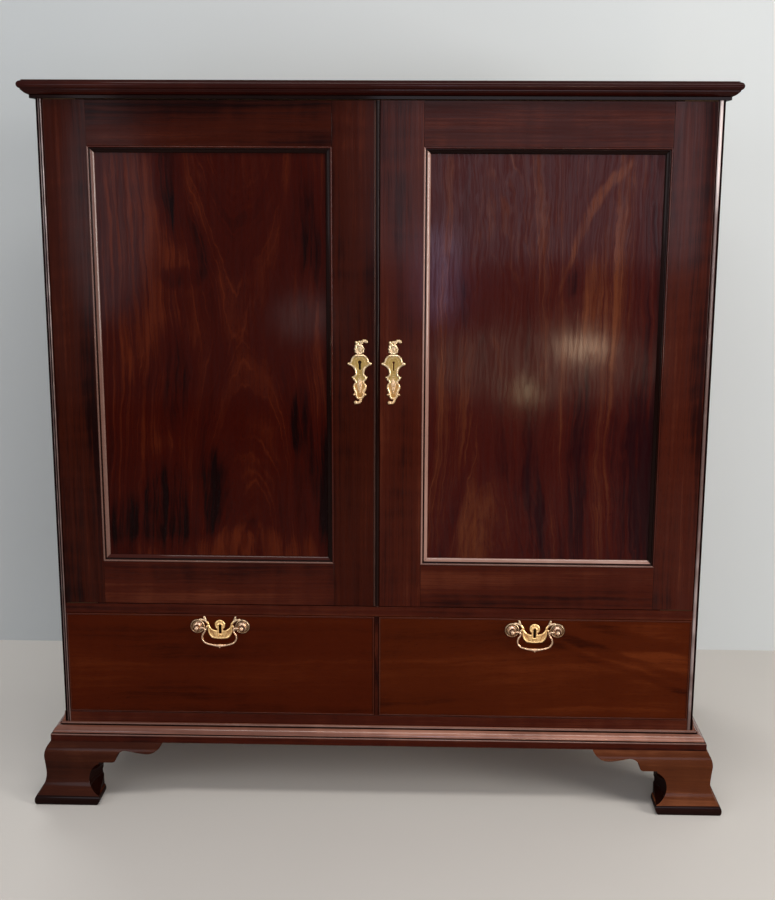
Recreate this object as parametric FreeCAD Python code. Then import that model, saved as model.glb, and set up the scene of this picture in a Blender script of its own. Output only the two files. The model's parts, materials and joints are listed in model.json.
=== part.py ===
import FreeCAD, Part
import math
import os

# A low mahogany linen press: a cupboard with two framed and panelled doors, two short
# drawers side by side under it, a cornice, a base moulding and four ogee bracket feet.
# Millimetres. X runs along the front, Y goes back from the front, Z is up. The origin is
# on the floor, under the middle of the space that the whole press takes up.

Vector = FreeCAD.Vector
X_AXIS = Vector(1, 0, 0)
Y_AXIS = Vector(0, 1, 0)
Z_AXIS = Vector(0, 0, 1)
SMOOTH = "smooth"
os.makedirs("parts", exist_ok=True)

# ------------------------------------------------------------------ carcass sizes
WIDTH = 1250.0               # over the two sides
DEPTH = 576.0                # front edges of the sides to the back boards
TOE_REACH = 54.0             # how far the toes of the front feet stand out
FOOT_HEIGHT = 123.0
CARCASS_TOP = 1385.0         # upper face of the top board
RAIL_HIGH = 54.0             # rail under the drawers
DRAWER_SPACE = 207.5         # that rail to the cupboard floor
FLOOR_THICK = 19.0
CORNICE_REACH = 25.9         # nose of the cornice in front of the carcass
CORNICE_HIGH = 32.0
BASE_REACH = 24.4            # fascia of the base moulding in front of the carcass
BASE_HIGH = 33.2

SIDE_THICK = 22.0
EDGE_STRIP = 11.0            # front edge of a side that shows beside doors and drawers
EDGE_BEAD = 4.5              # width of the bead on the inner arris of that strip
EDGE_BEAD_PROUD = 1.8
EDGE_ROUND = 5.0             # radius of the outer arris
HOUSING = 6.0                # depth of the housings that carry the boards

TOP_THICK = 22.0
TAIL_LONG = 14.0             # dovetails of the top board in the sides
TAIL_COUNT = 7
RAIL_THICK = 24.0
BOTTOM_THICK = 14.0
BACK_THICK = 12.0
BACK_REBATE = 10.0           # how far the back boards lap over each side
BACK_COUNT = 4
PARTITION_THICK = 18.0
PARTITION_TONGUE = 7.0       # front edge of the partition that shows between the drawers
PARTITION_X = -1.5

SHELF_COUNT = 2
SHELF_THICK = 18.0
SHELF_SETBACK = 60.0         # room behind the doors for lock and bolts
BEARER_WIDE = 12.0
BEARER_HIGH = 22.0

# ------------------------------------------------------------------ feet
FOOT_SPREAD = 199.0          # corner of the carcass to the tip of a bracket's wing
ANKLE = 72.0                 # corner of the carcass to the upright end of the foot
FOOT_LEDGE = 0.2             # how far the foot stands out past the fascia above it
FOOT_INSET = 4.0             # the brackets reach this far under the carcass
SCOOP_OFFSET = 12.4          # axis of the scoop beyond the ankle
SCOOP_HEIGHT = 50.0
SCOOP_INNER = 14.4           # radius of the scoop at the back of the bracket
SCOOP_OUTER = 32.6           # its radius at the face
SCOOP_DEEP = 34.0            # how far out the scoop stops widening
BLOCK_SIZE = 45.0
BLOCK_LIFT = 2.0             # the glue blocks stop this short of the floor
REAR_BRACKET_THICK = 20.0

# ------------------------------------------------------------------ doors
DOOR_THICK = 22.0
DOOR_REBATE = 24.0           # depth of the rebate in the sides where the doors close
DOOR_GAP = 1.5               # above and below the doors
DOOR_EDGE_GAP = 1.0          # beside the doors
MEETING_X = 3.0              # right-hand face of the astragal
ASTRAGAL_WIDE = 10.0
ASTRAGAL_PROUD = 3.4
HINGE_STILE = 78.5
LEFT_MEETING_STILE = 77.5
RIGHT_MEETING_STILE = 79.5
BOTTOM_RAIL = 85.0
TOP_RAIL = 81.5
MOULD_WIDE = 12.5            # moulding round a panel
PANEL_THICK = 8.0
PANEL_SUNK = 8.0             # frame face to panel face
PANEL_ENTRY = 8.0            # how far the panel enters its groove
PANEL_PLAY = 1.0             # room left at the bottom of the groove
TENON_LONG = 45.0
TENON_SHOULDER = 15.0
HINGE_ARRIS = 2.5            # rounding of the door's front arris at the hinge side

STOP_SIZE = 12.0
STOP_START = 80.0            # middle of the press to the near end of a stop
STOP_SHORT = 63.0            # side of the press to its far end

PIN_IN = 7.0                 # pivot to the edge of the door
PIN_BACK = 5.0               # pivot to the face of the door
PIN_RADIUS = 2.5
LEAF_LONG = 60.0
LEAF_WIDE = 14.0
LEAF_THICK = 3.0
LEAF_MARGIN = 5.0            # pivot to the end of the leaf
LEAF_FRONT = 1.5             # face of the door to the front edge of the leaf
RUNNING = 0.05               # radial clearance of the turning and sliding pins
CLEAR = 90.0                 # how far a cutting block runs past what it cuts

# ------------------------------------------------------------------ locks and bolts
KEY_DROP = 2.25              # middle of the doors to the middle of the key plates
LEFT_KEY_IN = 27.0           # joint side of the meeting stile to the keyhole
RIGHT_KEY_IN = 25.6
KEY_RADIUS = 2.6
KEY_SLOT = 1.5               # half the width of the slot under a door's keyhole
KEY_TALL = 12.0
PLATE_SLIT = 0.7             # half the width of the slit in the blind key plate
LOCK_WIDE = 50.0
LOCK_HIGH = 76.0
LOCK_DEEP = 12.0
LOCK_BOLT_HIGH = 18.0
LOCK_BOLT_THICK = 6.0
LOCK_BOLT_LONG = 34.0
LOCK_THROW = 9.0
CASE_WALL = 2.5              # front of a lock case to its bolt
SLIDE_GAP = 0.1              # play on each side of a flat bolt
BOLT_RADIUS = 3.0
BOLT_LONG = 160.0
BOLT_IN = 20.0               # joint side of the meeting stile to the flush bolts
BOLT_SUNK = 1.0
BOLT_THROW = 12.0
THUMB_WIDE = 5.0
THUMB_HIGH = 12.0
THUMB_OUT = 4.0
THUMB_START = 4.0            # inner end of a bolt to its thumb piece

# ------------------------------------------------------------------ drawers
DRAWER_GAP = 1.0
LIP_THICK = 8.0              # the front of a drawer laps over the carcass by this thickness
FRONT_THICK = 24.0
DRAWER_SIDE = 10.0
DRAWER_BACK_THICK = 12.0
DRAWER_BACK_ROOM = 23.0      # air behind a drawer
DRAWER_BACK_DROP = 9.5       # top of the space to the top of the drawer's back
DRAWER_BOTTOM_LIFT = 13.0    # rail to the underside of the drawer's bottom
DRAWER_BOTTOM_THICK = 8.0
GROOVE = 4.0
COCK_BEAD = 3.0
COCK_BEAD_DEEP = 5.0
COCK_BEAD_PROUD = 1.3
DRAWER_LOCK_WIDE = 60.0
DRAWER_LOCK_HIGH = 45.0
DRAWER_LOCK_DEEP = 10.0
DRAWER_BOLT_WIDE = 24.0
DRAWER_BOLT_HIGH = 22.0
DRAWER_CASE_WALL = 2.0
DRAWER_KEY_TALL = 16.0
DRAWER_KEY_SLOT = 2.3
KEEP_DEEP = 11.0             # mortice in the cupboard floor that the bolt enters

# ------------------------------------------------------------------ brass
PLATE_THICK = 1.8
PLATE_FLATS = 3              # flats that an arc of a plate's outline is filed to
DISC_SIDES = 20
POST_SIDES = 14
HANDLE_DROP = 25.0           # top of the space to the middle of the handle
POST_SPREAD = 44.1           # middle of the handle to the middle of a post
ROSETTE = 14.5
POST_OUT = 12.0              # drawer face to the pivot of the bail
POST_FOOT = 8.4
POST_HEAD = 6.5
POST_NECK = 3.6
POST_SHAFT = 2.5
NUT_RADIUS = 8.0
NUT_THICK = 4.0
BAIL_PIN = 1.6               # radius of the pins that turn in the posts
BAIL_PIN_LONG = 5.5
BAIL_SPAN = 37.0             # middle of the handle to where a pin starts
BAIL_RADIUS = 1.8
BAIL_SWELL = 3.1             # radius in the middle of the grip
SWELL_HALF = 14.0            # half the length of the swelling
DROP_OUT = 1.7               # how far the drop hangs below the swelling
BAIL_HALF = 28.0             # middle of the handle to the narrow of the neck
NECK_RADIUS = 4.0
NECK_TURN = 42.0             # how far the neck curves back outwards, degrees
HOLLOW_RADIUS = 9.0
CHEEK_RADIUS = 13.3
GRIP_TURN = 20.0             # slope of the grip where it meets the cheeks, degrees
BEND_STEP = 16.0             # a bend of the bail turns by about this between two mitres

# ------------------------------------------------------------------ derived planes
HALF = WIDTH / 2.0
TOTAL_DEPTH = DEPTH + TOE_REACH
BACK = TOTAL_DEPTH / 2.0
FRONT = BACK - DEPTH
INNER = HALF - SIDE_THICK            # inside face of a side
STRIP_INNER = HALF - EDGE_STRIP      # edge of the openings at the front
BOARD_BACK = BACK - BACK_THICK       # where the inside of the carcass ends
RAIL_TOP = FOOT_HEIGHT + RAIL_HIGH
FLOOR_UNDER = RAIL_TOP + DRAWER_SPACE
FLOOR_TOP = FLOOR_UNDER + FLOOR_THICK
TOP_UNDER = CARCASS_TOP - TOP_THICK
CORNICE_TOP = TOP_UNDER + CORNICE_HIGH
BASE_TOP = FOOT_HEIGHT + BASE_HIGH
DOOR_BOTTOM = FLOOR_TOP + DOOR_GAP
DOOR_TOP = TOP_UNDER - DOOR_GAP
DOOR_OUTER = STRIP_INNER - DOOR_EDGE_GAP
DOOR_MIDDLE = (DOOR_BOTTOM + DOOR_TOP) / 2.0
RIGHT_DOOR_EDGE = MEETING_X + DOOR_EDGE_GAP
LEFT_DOOR_EDGE = MEETING_X - ASTRAGAL_WIDE
LEFT_LIGHT = (-DOOR_OUTER + HINGE_STILE, LEFT_DOOR_EDGE - LEFT_MEETING_STILE)
RIGHT_LIGHT = (RIGHT_DOOR_EDGE + RIGHT_MEETING_STILE, DOOR_OUTER - HINGE_STILE)
LIGHT_BOTTOM = DOOR_BOTTOM + BOTTOM_RAIL
LIGHT_TOP = DOOR_TOP - TOP_RAIL
PIN_X = DOOR_OUTER - PIN_IN
PIN_Y = FRONT + PIN_BACK
KEY_Z = DOOR_MIDDLE - KEY_DROP
LEFT_KEY_X = LEFT_DOOR_EDGE - LEFT_KEY_IN
RIGHT_KEY_X = RIGHT_DOOR_EDGE + RIGHT_KEY_IN
BOLT_X = RIGHT_DOOR_EDGE + BOLT_IN
DRAWER_BACK_Y = BOARD_BACK - DRAWER_BACK_ROOM
DRAWER_BACK_TOP = FLOOR_UNDER - DRAWER_BACK_DROP
DRAWER_BOTTOM_Z = RAIL_TOP + DRAWER_BOTTOM_LIFT
HANDLE_Z = FLOOR_UNDER - HANDLE_DROP

parts = {}


# ------------------------------------------------------------------ drawing helpers
def box(x0, x1, y0, y1, z0, z1):
    """A block between two planes on each axis."""
    return Part.makeBox(x1 - x0, y1 - y0, z1 - z0, Vector(x0, y0, z0))


def rod(radius, start, end):
    """A round bar between two points."""
    run = end.sub(start)
    return Part.makeCylinder(radius, run.Length, start, run)


def on_plan(x, y):
    return Vector(x, y, 0)


def on_front(x, z):
    return Vector(x, 0, z)


def on_side(y, z):
    return Vector(0, y, z)


def run_on(here, heading, there):
    """An arc that leaves here along heading and ends there."""
    chord = there.sub(here)
    along = chord * (1.0 / chord.Length)
    rise = heading.sub(along * heading.dot(along))
    if rise.Length < 1e-4:
        return Part.makeLine(here, there)
    angle = math.atan2(rise.Length, heading.dot(along))
    crown = rise * (chord.Length / 2.0 * math.tan(angle / 2.0) / rise.Length)
    return Part.Arc(here, here + chord * 0.5 + crown, there).toShape()


def face(place, start, steps, flats=0):
    """A closed flat shape. Each step is a tuple of points: one point draws a straight
    edge to it, two an arc through the first to the second. A step that starts with
    SMOOTH draws arcs that each run on smoothly from the edge before. With flats, an arc
    is filed as that many straight edges."""
    here = place(*start)
    edges = []
    for step in steps:
        if step[0] == SMOOTH:
            for point in step[1:]:
                heading = edges[-1].tangentAt(edges[-1].LastParameter)
                edges.append(run_on(here, heading, place(*point)))
                here = place(*point)
        elif len(step) == 1:
            edges.append(Part.makeLine(here, place(*step[0])))
        else:
            arc = Part.Arc(here, place(*step[0]), place(*step[1])).toShape()
            corners = arc.discretize(Number=flats + 1) if flats else []
            edges.extend([Part.makeLine(a, b) for a, b in zip(corners, corners[1:])] or [arc])
        here = place(*step[-1])
    first = place(*start)
    if here.distanceToPoint(first) > 1e-6:
        edges.append(Part.makeLine(here, first))
    return Part.Face(Part.Wire(edges))


def polygon(place, *points):
    """A closed flat shape with straight edges."""
    return face(place, points[0], [(point,) for point in points[1:]])


def pull(flat, x=0.0, y=0.0, z=0.0):
    """A flat shape extruded along a vector."""
    return flat.extrude(Vector(x, y, z))


def shift(shape, x=0.0, y=0.0, z=0.0):
    moved = shape.copy()
    moved.translate(Vector(x, y, z))
    return moved


def flip_x(shape):
    """The mirror image across the middle of the press."""
    return shape.mirror(Vector(0, 0, 0), Vector(1, 0, 0))


def flip_z(shape, height):
    """The mirror image across a level plane."""
    return shape.mirror(Vector(0, 0, height), Vector(0, 0, 1))


def many_sided(count, radius):
    """Corners of a regular outline that stands on one of its sides."""
    angles = [math.pi * (2 * index + 1) / count for index in range(count)]
    return [(radius * math.cos(angle), radius * math.sin(angle)) for angle in angles]


def skin(rings):
    """A closed solid through a row of flat rings with as many corners each."""
    closed = lambda corners: Part.Face(Part.makePolygon(corners + corners[:1]))
    faces = [closed(rings[0]), closed(rings[-1])]
    for near, far in zip(rings, rings[1:]):
        for index in range(len(near)):
            last = index - 1
            faces.append(closed([near[last], near[index], far[index], far[last]]))
    solid = Part.makeSolid(Part.makeShell(faces))
    if solid.Volume < 0.0:
        solid.reverse()
    return solid


def fuse(first, *rest):
    return first.fuse(list(rest)).removeSplitter()


def group(*shapes):
    """Separate solids that share one node."""
    solids = []
    for shape in shapes:
        solids.extend(shape.Solids)
    return Part.makeCompound(solids)


def tails(place, axis, count, low, high, root, end, neck, flare, thick):
    """A row of dovetails between two heights or stations, low and high. They start at
    the shoulder line, root, and widen to the end line; thick runs along axis."""
    pitch = (high - low) / count
    row = []
    for index in range(count):
        middle = low + pitch * (index + 0.5)
        flat = polygon(place, (root, middle - neck), (root, middle + neck),
                       (end, middle + flare), (end, middle - flare))
        row.append(flat.extrude(axis * thick))
    return row


def framed(section, x0, x1, z0, z1):
    """Four lengths of one moulding, mitred round the inside of a rectangle on the
    front. The section is drawn with its first measure running in from the edge."""
    wide = x1 - x0
    high = z1 - z0
    bars = []
    for turn, length, other in ((0, wide, high), (90, high, wide),
                                (180, wide, high), (270, high, wide)):
        end = length / 2.0
        edge = -other / 2.0
        bar = pull(section(), x=length)
        bar.translate(Vector(-end, 0, edge))
        mitre = pull(polygon(on_front, (-end, edge), (end, edge),
                             (end - CLEAR, edge + CLEAR),
                             (-end + CLEAR, edge + CLEAR)), y=2.0 * CLEAR)
        mitre.translate(Vector(0, FRONT - CLEAR, 0))
        bar = bar.common(mitre)
        bar.rotate(Vector(0, 0, 0), Vector(0, 1, 0), -turn)
        bar.translate(Vector((x0 + x1) / 2.0, 0, (z0 + z1) / 2.0))
        bars.append(bar)
    return bars


# ------------------------------------------------------------------ carcass
def side_plan():
    """Plan of the left side: rounded outer arris, then a bead, at its front edge."""
    bead_start = STRIP_INNER + EDGE_BEAD
    bend = EDGE_ROUND * (1.0 - math.sqrt(0.5))
    return face(on_plan, (-HALF, BACK), [
        ((-HALF, FRONT + EDGE_ROUND),),
        ((-HALF + bend, FRONT + bend), (-HALF + EDGE_ROUND, FRONT)),
        ((-bead_start, FRONT),),
        ((-bead_start + EDGE_BEAD / 2.0, FRONT - EDGE_BEAD_PROUD), (-STRIP_INNER, FRONT)),
        ((-INNER, FRONT),),
        ((-INNER, BACK),)])


top_board = box(-INNER, INNER, FRONT, BOARD_BACK, TOP_UNDER, CARCASS_TOP)
left_tails = tails(on_plan, Z_AXIS, TAIL_COUNT, FRONT + 6.0, BOARD_BACK - 6.0,
                   -INNER, -INNER - TAIL_LONG, 26.0, 30.0, TOP_THICK)
left_tails = [shift(tail, z=TOP_UNDER) for tail in left_tails]
top_board = fuse(top_board, *left_tails, *[flip_x(tail) for tail in left_tails])

floor = fuse(box(-STRIP_INNER, STRIP_INNER, FRONT, FRONT + DOOR_REBATE, FLOOR_UNDER, FLOOR_TOP),
             box(-INNER - HOUSING, INNER + HOUSING, FRONT + DOOR_REBATE, BOARD_BACK,
                 FLOOR_UNDER, FLOOR_TOP))
bottom_board = box(-INNER - HOUSING, INNER + HOUSING, FRONT + RAIL_THICK, BOARD_BACK,
                   RAIL_TOP - BOTTOM_THICK, RAIL_TOP)
base_rail = box(-STRIP_INNER, STRIP_INNER, FRONT, FRONT + RAIL_THICK, FOOT_HEIGHT, RAIL_TOP)

side = pull(side_plan(), z=CARCASS_TOP - FOOT_HEIGHT)
side.translate(Vector(0, 0, FOOT_HEIGHT))
side = side.cut([
    box(-STRIP_INNER, -INNER, FRONT, FRONT + DOOR_REBATE, FLOOR_TOP, TOP_UNDER),
    box(-STRIP_INNER, -INNER, FRONT, FRONT + LIP_THICK, RAIL_TOP, FLOOR_UNDER),
    box(-HALF, -STRIP_INNER, FRONT - EDGE_BEAD_PROUD, FRONT, FOOT_HEIGHT, BASE_TOP),
    box(-HALF, -STRIP_INNER, FRONT - EDGE_BEAD_PROUD, FRONT, TOP_UNDER, CARCASS_TOP),
    box(-INNER - BACK_REBATE, -INNER, BOARD_BACK, BACK, FOOT_HEIGHT, CARCASS_TOP),
    base_rail, bottom_board, floor, top_board])
parts["base_rail"] = base_rail
parts["bottom_board"] = bottom_board

tongue = box(PARTITION_X - PARTITION_TONGUE / 2.0, PARTITION_X + PARTITION_TONGUE / 2.0,
             FRONT, FRONT + LIP_THICK, RAIL_TOP, FLOOR_UNDER)
partition = box(PARTITION_X - PARTITION_THICK / 2.0, PARTITION_X + PARTITION_THICK / 2.0,
                FRONT + LIP_THICK, BOARD_BACK, RAIL_TOP, FLOOR_UNDER)
parts["drawer_partition"] = fuse(partition, tongue)

back_span = 2.0 * (INNER + BACK_REBATE)
board_wide = back_span / BACK_COUNT
boards = []
for index in range(BACK_COUNT):
    left = -back_span / 2.0 + index * board_wide
    boards.append(box(left, left + board_wide, BOARD_BACK, BACK, FOOT_HEIGHT, CARCASS_TOP))
parts["back_boards"] = group(*boards)

bearers = []
shelf_pitch = (TOP_UNDER - FLOOR_TOP + SHELF_THICK) / (SHELF_COUNT + 1)
for index, name in enumerate(("shelf_lower", "shelf_upper")):
    top = FLOOR_TOP + shelf_pitch * (index + 1)
    under = top - SHELF_THICK
    parts[name] = box(-INNER, INNER, FRONT + SHELF_SETBACK, BOARD_BACK, under, top)
    bearer = box(-INNER, -INNER + BEARER_WIDE, FRONT + SHELF_SETBACK, BOARD_BACK,
                 under - BEARER_HIGH, under)
    bearers.extend([bearer, flip_x(bearer)])
parts["shelf_bearers"] = group(*bearers)


# ------------------------------------------------------------------ cornice and base moulding
def cornice_section(place):
    """Bed fillet, cove, small fillet and a thumb moulding with a fillet on top, drawn in
    fractions of how far it stands out and how high it is."""
    spot = lambda out, up: place(out * CORNICE_REACH, TOP_UNDER + up * CORNICE_HIGH)
    return face(spot, (0.0, 0.0), [
        ((0.31, 0.0),),
        ((0.31, 0.18),),
        ((0.36, 0.20),),
        ((0.55, 0.28), (0.74, 0.43)),
        ((0.785, 0.43),),
        ((0.785, 0.51),),
        ((1.0, 0.72), (0.82, 0.93)),
        ((0.72, 0.95),),
        ((0.72, 1.0),),
        ((0.0, 1.0),)])


def base_section(place):
    """Flat fascia, bead, quirk, ovolo and a thin bead at the top, drawn in fractions of
    how far it stands out and how high it is."""
    spot = lambda out, up: place(out * BASE_REACH, FOOT_HEIGHT + up * BASE_HIGH)
    return face(spot, (0.0, 0.0), [
        ((1.0, 0.0),),
        ((1.0, 0.40),),
        ((0.98, 0.45), (0.91, 0.47)),
        ((0.81, 0.47),),
        ((0.81, 0.505),),
        ((0.86, 0.505),),
        ((0.70, 0.75), (0.28, 0.86)),
        ((0.19, 0.86),),
        ((0.19, 0.89),),
        ((0.26, 0.945), (0.17, 1.0)),
        ((0.0, 1.0),)])


def side_cove(place):
    """The cove that runs up from the base moulding on the two ends only. Its outer face
    starts at the ovolo and dies out at the top of the rail."""
    foot = FOOT_HEIGHT + 0.86 * BASE_HIGH
    rise = RAIL_TOP - foot
    spot = lambda out, up: place(out * BASE_REACH, foot + up * rise)
    return face(spot, (0.0, 0.0), [
        ((0.47, 0.0),),
        ((0.18, 0.35), (0.025, 1.0)),
        ((0.0, 1.0),)])


def runs(section):
    """A moulding round the front and the two ends, mitred at the front corners."""
    front = section(lambda out, z: Vector(-HALF - CLEAR, FRONT - out, z))
    front = pull(front, x=WIDTH + 2.0 * CLEAR)
    between = pull(polygon(on_plan, (-HALF, FRONT), (HALF, FRONT),
                           (HALF + CLEAR, FRONT - CLEAR),
                           (-HALF - CLEAR, FRONT - CLEAR)), z=CORNICE_TOP)
    left = section(lambda out, z: Vector(-HALF - out, FRONT - CLEAR, z))
    left = pull(left, y=DEPTH + CLEAR)
    beside = pull(polygon(on_plan, (-HALF, FRONT), (-HALF, BACK),
                          (-HALF - CLEAR, BACK),
                          (-HALF - CLEAR, FRONT - CLEAR)), z=CORNICE_TOP)
    left = left.common(beside)
    return front.common(between), left, flip_x(left)


cornice_front, cornice_left, cornice_right = runs(cornice_section)
parts["cornice"] = group(cornice_front, cornice_left, cornice_right)

base_front, base_left, base_right = runs(base_section)
cove = side_cove(lambda out, z: Vector(-HALF - out, FRONT, z))
cove = pull(cove, y=DEPTH).cut(base_left)
base_left = fuse(base_left, cove)
parts["base_moulding"] = group(base_front, base_left, flip_x(base_left))


# ------------------------------------------------------------------ ogee bracket feet
def ogee_section(place):
    """Section of a foot: bulging shoulder, hollow ankle and a rounded toe, drawn in
    fractions of the toe's reach and the foot's height."""
    spot = lambda out, up: place(out * TOE_REACH, up * FOOT_HEIGHT)
    inset = -FOOT_INSET / TOE_REACH
    shoulder = (BASE_REACH + FOOT_LEDGE) / TOE_REACH
    return face(spot, (inset, 0.0), [
        ((0.956, 0.0),),
        ((1.0, 0.0715), (0.956, 0.143)),
        ((0.715, 0.293), (0.622, 0.52)),
        (SMOOTH, (0.665, 0.748), (shoulder, 1.0)),
        ((inset, 1.0),)])


def bracket_outline(place):
    """Front view of a bracket, measured in from the corner of the carcass: upright ankle,
    flat under the wing, then a cusp and a long scroll that ends in a tip. It is drawn in
    fractions of the bracket's length and the foot's height."""
    spot = lambda run, up: place(run * FOOT_SPREAD, up * FOOT_HEIGHT)
    past = -CLEAR / FOOT_SPREAD
    ankle = ANKLE / FOOT_SPREAD
    return face(spot, (past, 0.0), [
        ((ankle - 0.02, 0.0),),
        ((ankle + 0.016, 0.075), (ankle, 0.17)),
        ((ankle, 0.68),),
        ((0.49, 0.68),),
        ((0.524, 0.70), (0.538, 0.772)),
        ((0.578, 0.857), (0.648, 0.881)),
        (SMOOTH, (0.74, 0.855), (0.835, 0.836), (1.0, 1.0)),
        ((past, 1.0),)])


def ankle_hollow(along, out):
    """The scoop that hollows the upright end of the foot towards its face: a cone that
    widens outwards and goes on as a cylinder."""
    middle = along * (ANKLE + SCOOP_OFFSET) + Vector(0, 0, SCOOP_HEIGHT)
    cone = Part.makeCone(SCOOP_INNER, SCOOP_OUTER, SCOOP_DEEP + FOOT_INSET,
                         middle - out * FOOT_INSET, out)
    return fuse(cone, Part.makeCylinder(SCOOP_OUTER, CLEAR, middle + out * SCOOP_DEEP, out))


def front_bracket(corner, along, out):
    """One ogee bracket, run along a face of the carcass from its corner."""
    blank = ogee_section(
        lambda reach, z: corner - along * CLEAR + out * reach + Vector(0, 0, z))
    blank = blank.extrude(along * (CLEAR + FOOT_SPREAD))
    outline = bracket_outline(
        lambda run, z: corner + along * run - out * FOOT_INSET + Vector(0, 0, z))
    blank = blank.common(outline.extrude(out * (FOOT_INSET + CLEAR)))
    scoop = ankle_hollow(along, out)
    scoop.translate(corner)
    return blank.cut(scoop)


corner = Vector(-HALF, FRONT, 0)
mitre_out = (-HALF - CLEAR, FRONT - CLEAR)
mitre_in = (-HALF + CLEAR, FRONT + CLEAR)
face_side = pull(polygon(on_plan, mitre_out, mitre_in, (0, FRONT + CLEAR),
                         (0, FRONT - CLEAR)), z=FOOT_HEIGHT)
end_side = pull(polygon(on_plan, mitre_out, mitre_in, (-HALF + CLEAR, 0),
                        (-HALF - CLEAR, 0)), z=FOOT_HEIGHT)
foot_face = front_bracket(corner, X_AXIS, Y_AXIS * -1.0).common(face_side)
foot_end = front_bracket(corner, Y_AXIS, X_AXIS * -1.0).common(end_side)
block = box(-HALF + FOOT_INSET, -HALF + FOOT_INSET + BLOCK_SIZE,
            FRONT + FOOT_INSET, FRONT + FOOT_INSET + BLOCK_SIZE, BLOCK_LIFT, FOOT_HEIGHT)
foot = group(foot_face, foot_end, block)
parts["foot_front_left"] = foot
parts["foot_front_right"] = flip_x(foot)

rear_corner = Vector(-HALF, BACK, 0)
rear_end = front_bracket(rear_corner, Y_AXIS * -1.0, X_AXIS * -1.0)
rear_end = rear_end.common(box(-HALF - CLEAR, 0, 0, BACK, 0, FOOT_HEIGHT))
rear_board = bracket_outline(lambda run, z: Vector(-HALF + run, BACK - REAR_BRACKET_THICK, z))
rear_board = pull(rear_board, y=REAR_BRACKET_THICK)
rear_board = rear_board.common(box(-HALF + FOOT_INSET, 0, 0, BACK, 0, FOOT_HEIGHT))
rear_block = box(-HALF + FOOT_INSET, -HALF + FOOT_INSET + BLOCK_SIZE,
                 BACK - REAR_BRACKET_THICK - BLOCK_SIZE, BACK - REAR_BRACKET_THICK,
                 BLOCK_LIFT, FOOT_HEIGHT)
rear_foot = group(rear_end, rear_board, rear_block)
parts["foot_back_left"] = rear_foot
parts["foot_back_right"] = flip_x(rear_foot)

# ------------------------------------------------------------------ door stops
low_stop = box(-INNER + STOP_SHORT, -STOP_START, FRONT + DOOR_THICK,
               FRONT + DOOR_THICK + STOP_SIZE, FLOOR_TOP, FLOOR_TOP + STOP_SIZE)
high_stop = shift(low_stop, z=TOP_UNDER - FLOOR_TOP - STOP_SIZE)
parts["door_stops"] = group(low_stop, high_stop, flip_x(low_stop), flip_x(high_stop))


# ------------------------------------------------------------------ centre hinges
def leaf(z0):
    """Plan-shaped brass leaf at the lower left corner of the left door."""
    start = -PIN_X - LEAF_MARGIN
    return box(start, start + LEAF_LONG, FRONT + LEAF_FRONT, FRONT + LEAF_FRONT + LEAF_WIDE,
               z0, z0 + LEAF_THICK)


leaf_joint = FLOOR_TOP + DOOR_GAP / 2.0
pin_foot = Vector(-PIN_X, PIN_Y, leaf_joint)
pin_head = pin_foot + Vector(0, 0, LEAF_THICK - SLIDE_GAP)
pin_leaf = fuse(leaf(leaf_joint - LEAF_THICK), rod(PIN_RADIUS, pin_foot, pin_head))
eye_hole = rod(PIN_RADIUS + RUNNING, pin_foot, pin_foot + Vector(0, 0, LEAF_THICK))
eye_leaf = leaf(leaf_joint).cut(eye_hole)
left_pin_leaves = [pin_leaf, flip_z(pin_leaf, DOOR_MIDDLE)]
pin_leaves = left_pin_leaves + [flip_x(shape) for shape in left_pin_leaves]
eye_leaves = [eye_leaf, flip_z(eye_leaf, DOOR_MIDDLE)]
eye_seats = [leaf(leaf_joint), flip_z(leaf(leaf_joint), DOOR_MIDDLE)]
parts["hinge_pins"] = group(*pin_leaves)
parts["left_door_hinge_eyes"] = group(*eye_leaves)
parts["right_door_hinge_eyes"] = group(*[flip_x(shape) for shape in eye_leaves])
side = side.cut(left_pin_leaves)
parts["side_left"] = side
parts["side_right"] = flip_x(side)


# ------------------------------------------------------------------ doors
def mould_section():
    """Panel moulding, from the frame inwards: two fine beads, then a broad ovolo. It is
    drawn in fractions of its width and of the depth of the panel."""
    spot = lambda inward, sunk: Vector(0, FRONT + sunk * PANEL_SUNK, inward * MOULD_WIDE)
    return face(spot, (0.0, 1.0), [
        ((0.0, 0.0),),
        ((0.07, -0.15),),
        ((0.19, -0.15),),
        ((0.265, 0.16),),
        ((0.34, 0.03),),
        ((0.44, 0.03),),
        ((0.505, 0.33),),
        ((0.85, 0.41), (1.0, 0.86)),
        ((1.0, 1.0),)])


def door(light, x0, x1):
    """Frame and panel of a door between x0 and x1, hung on its outer edge."""
    left, right = light
    groove = PANEL_ENTRY + PANEL_PLAY
    face_y = FRONT + PANEL_SUNK
    slot = box(left - groove, right + groove, face_y, face_y + PANEL_THICK,
               LIGHT_BOTTOM - groove, LIGHT_TOP + groove)
    panel = box(left - PANEL_ENTRY, right + PANEL_ENTRY, face_y, face_y + PANEL_THICK,
                LIGHT_BOTTOM - PANEL_ENTRY, LIGHT_TOP + PANEL_ENTRY)
    back_y = FRONT + DOOR_THICK
    rails = []
    for z0, z1 in ((LIGHT_TOP, DOOR_TOP), (DOOR_BOTTOM, LIGHT_BOTTOM)):
        rail = box(left, right, FRONT, back_y, z0, z1)
        tenon = box(left - TENON_LONG, right + TENON_LONG, face_y, face_y + PANEL_THICK,
                    z0 + TENON_SHOULDER, z1 - TENON_SHOULDER)
        rails.append(fuse(rail.cut(slot), tenon))
    stiles = []
    for a, b in ((x0, left), (right, x1)):
        stile = box(a, b, FRONT, back_y, DOOR_BOTTOM, DOOR_TOP)
        stiles.append(stile.cut([slot, rails[0], rails[1]]))
    return stiles, rails, panel, framed(mould_section, left, right, LIGHT_BOTTOM, LIGHT_TOP)


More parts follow.
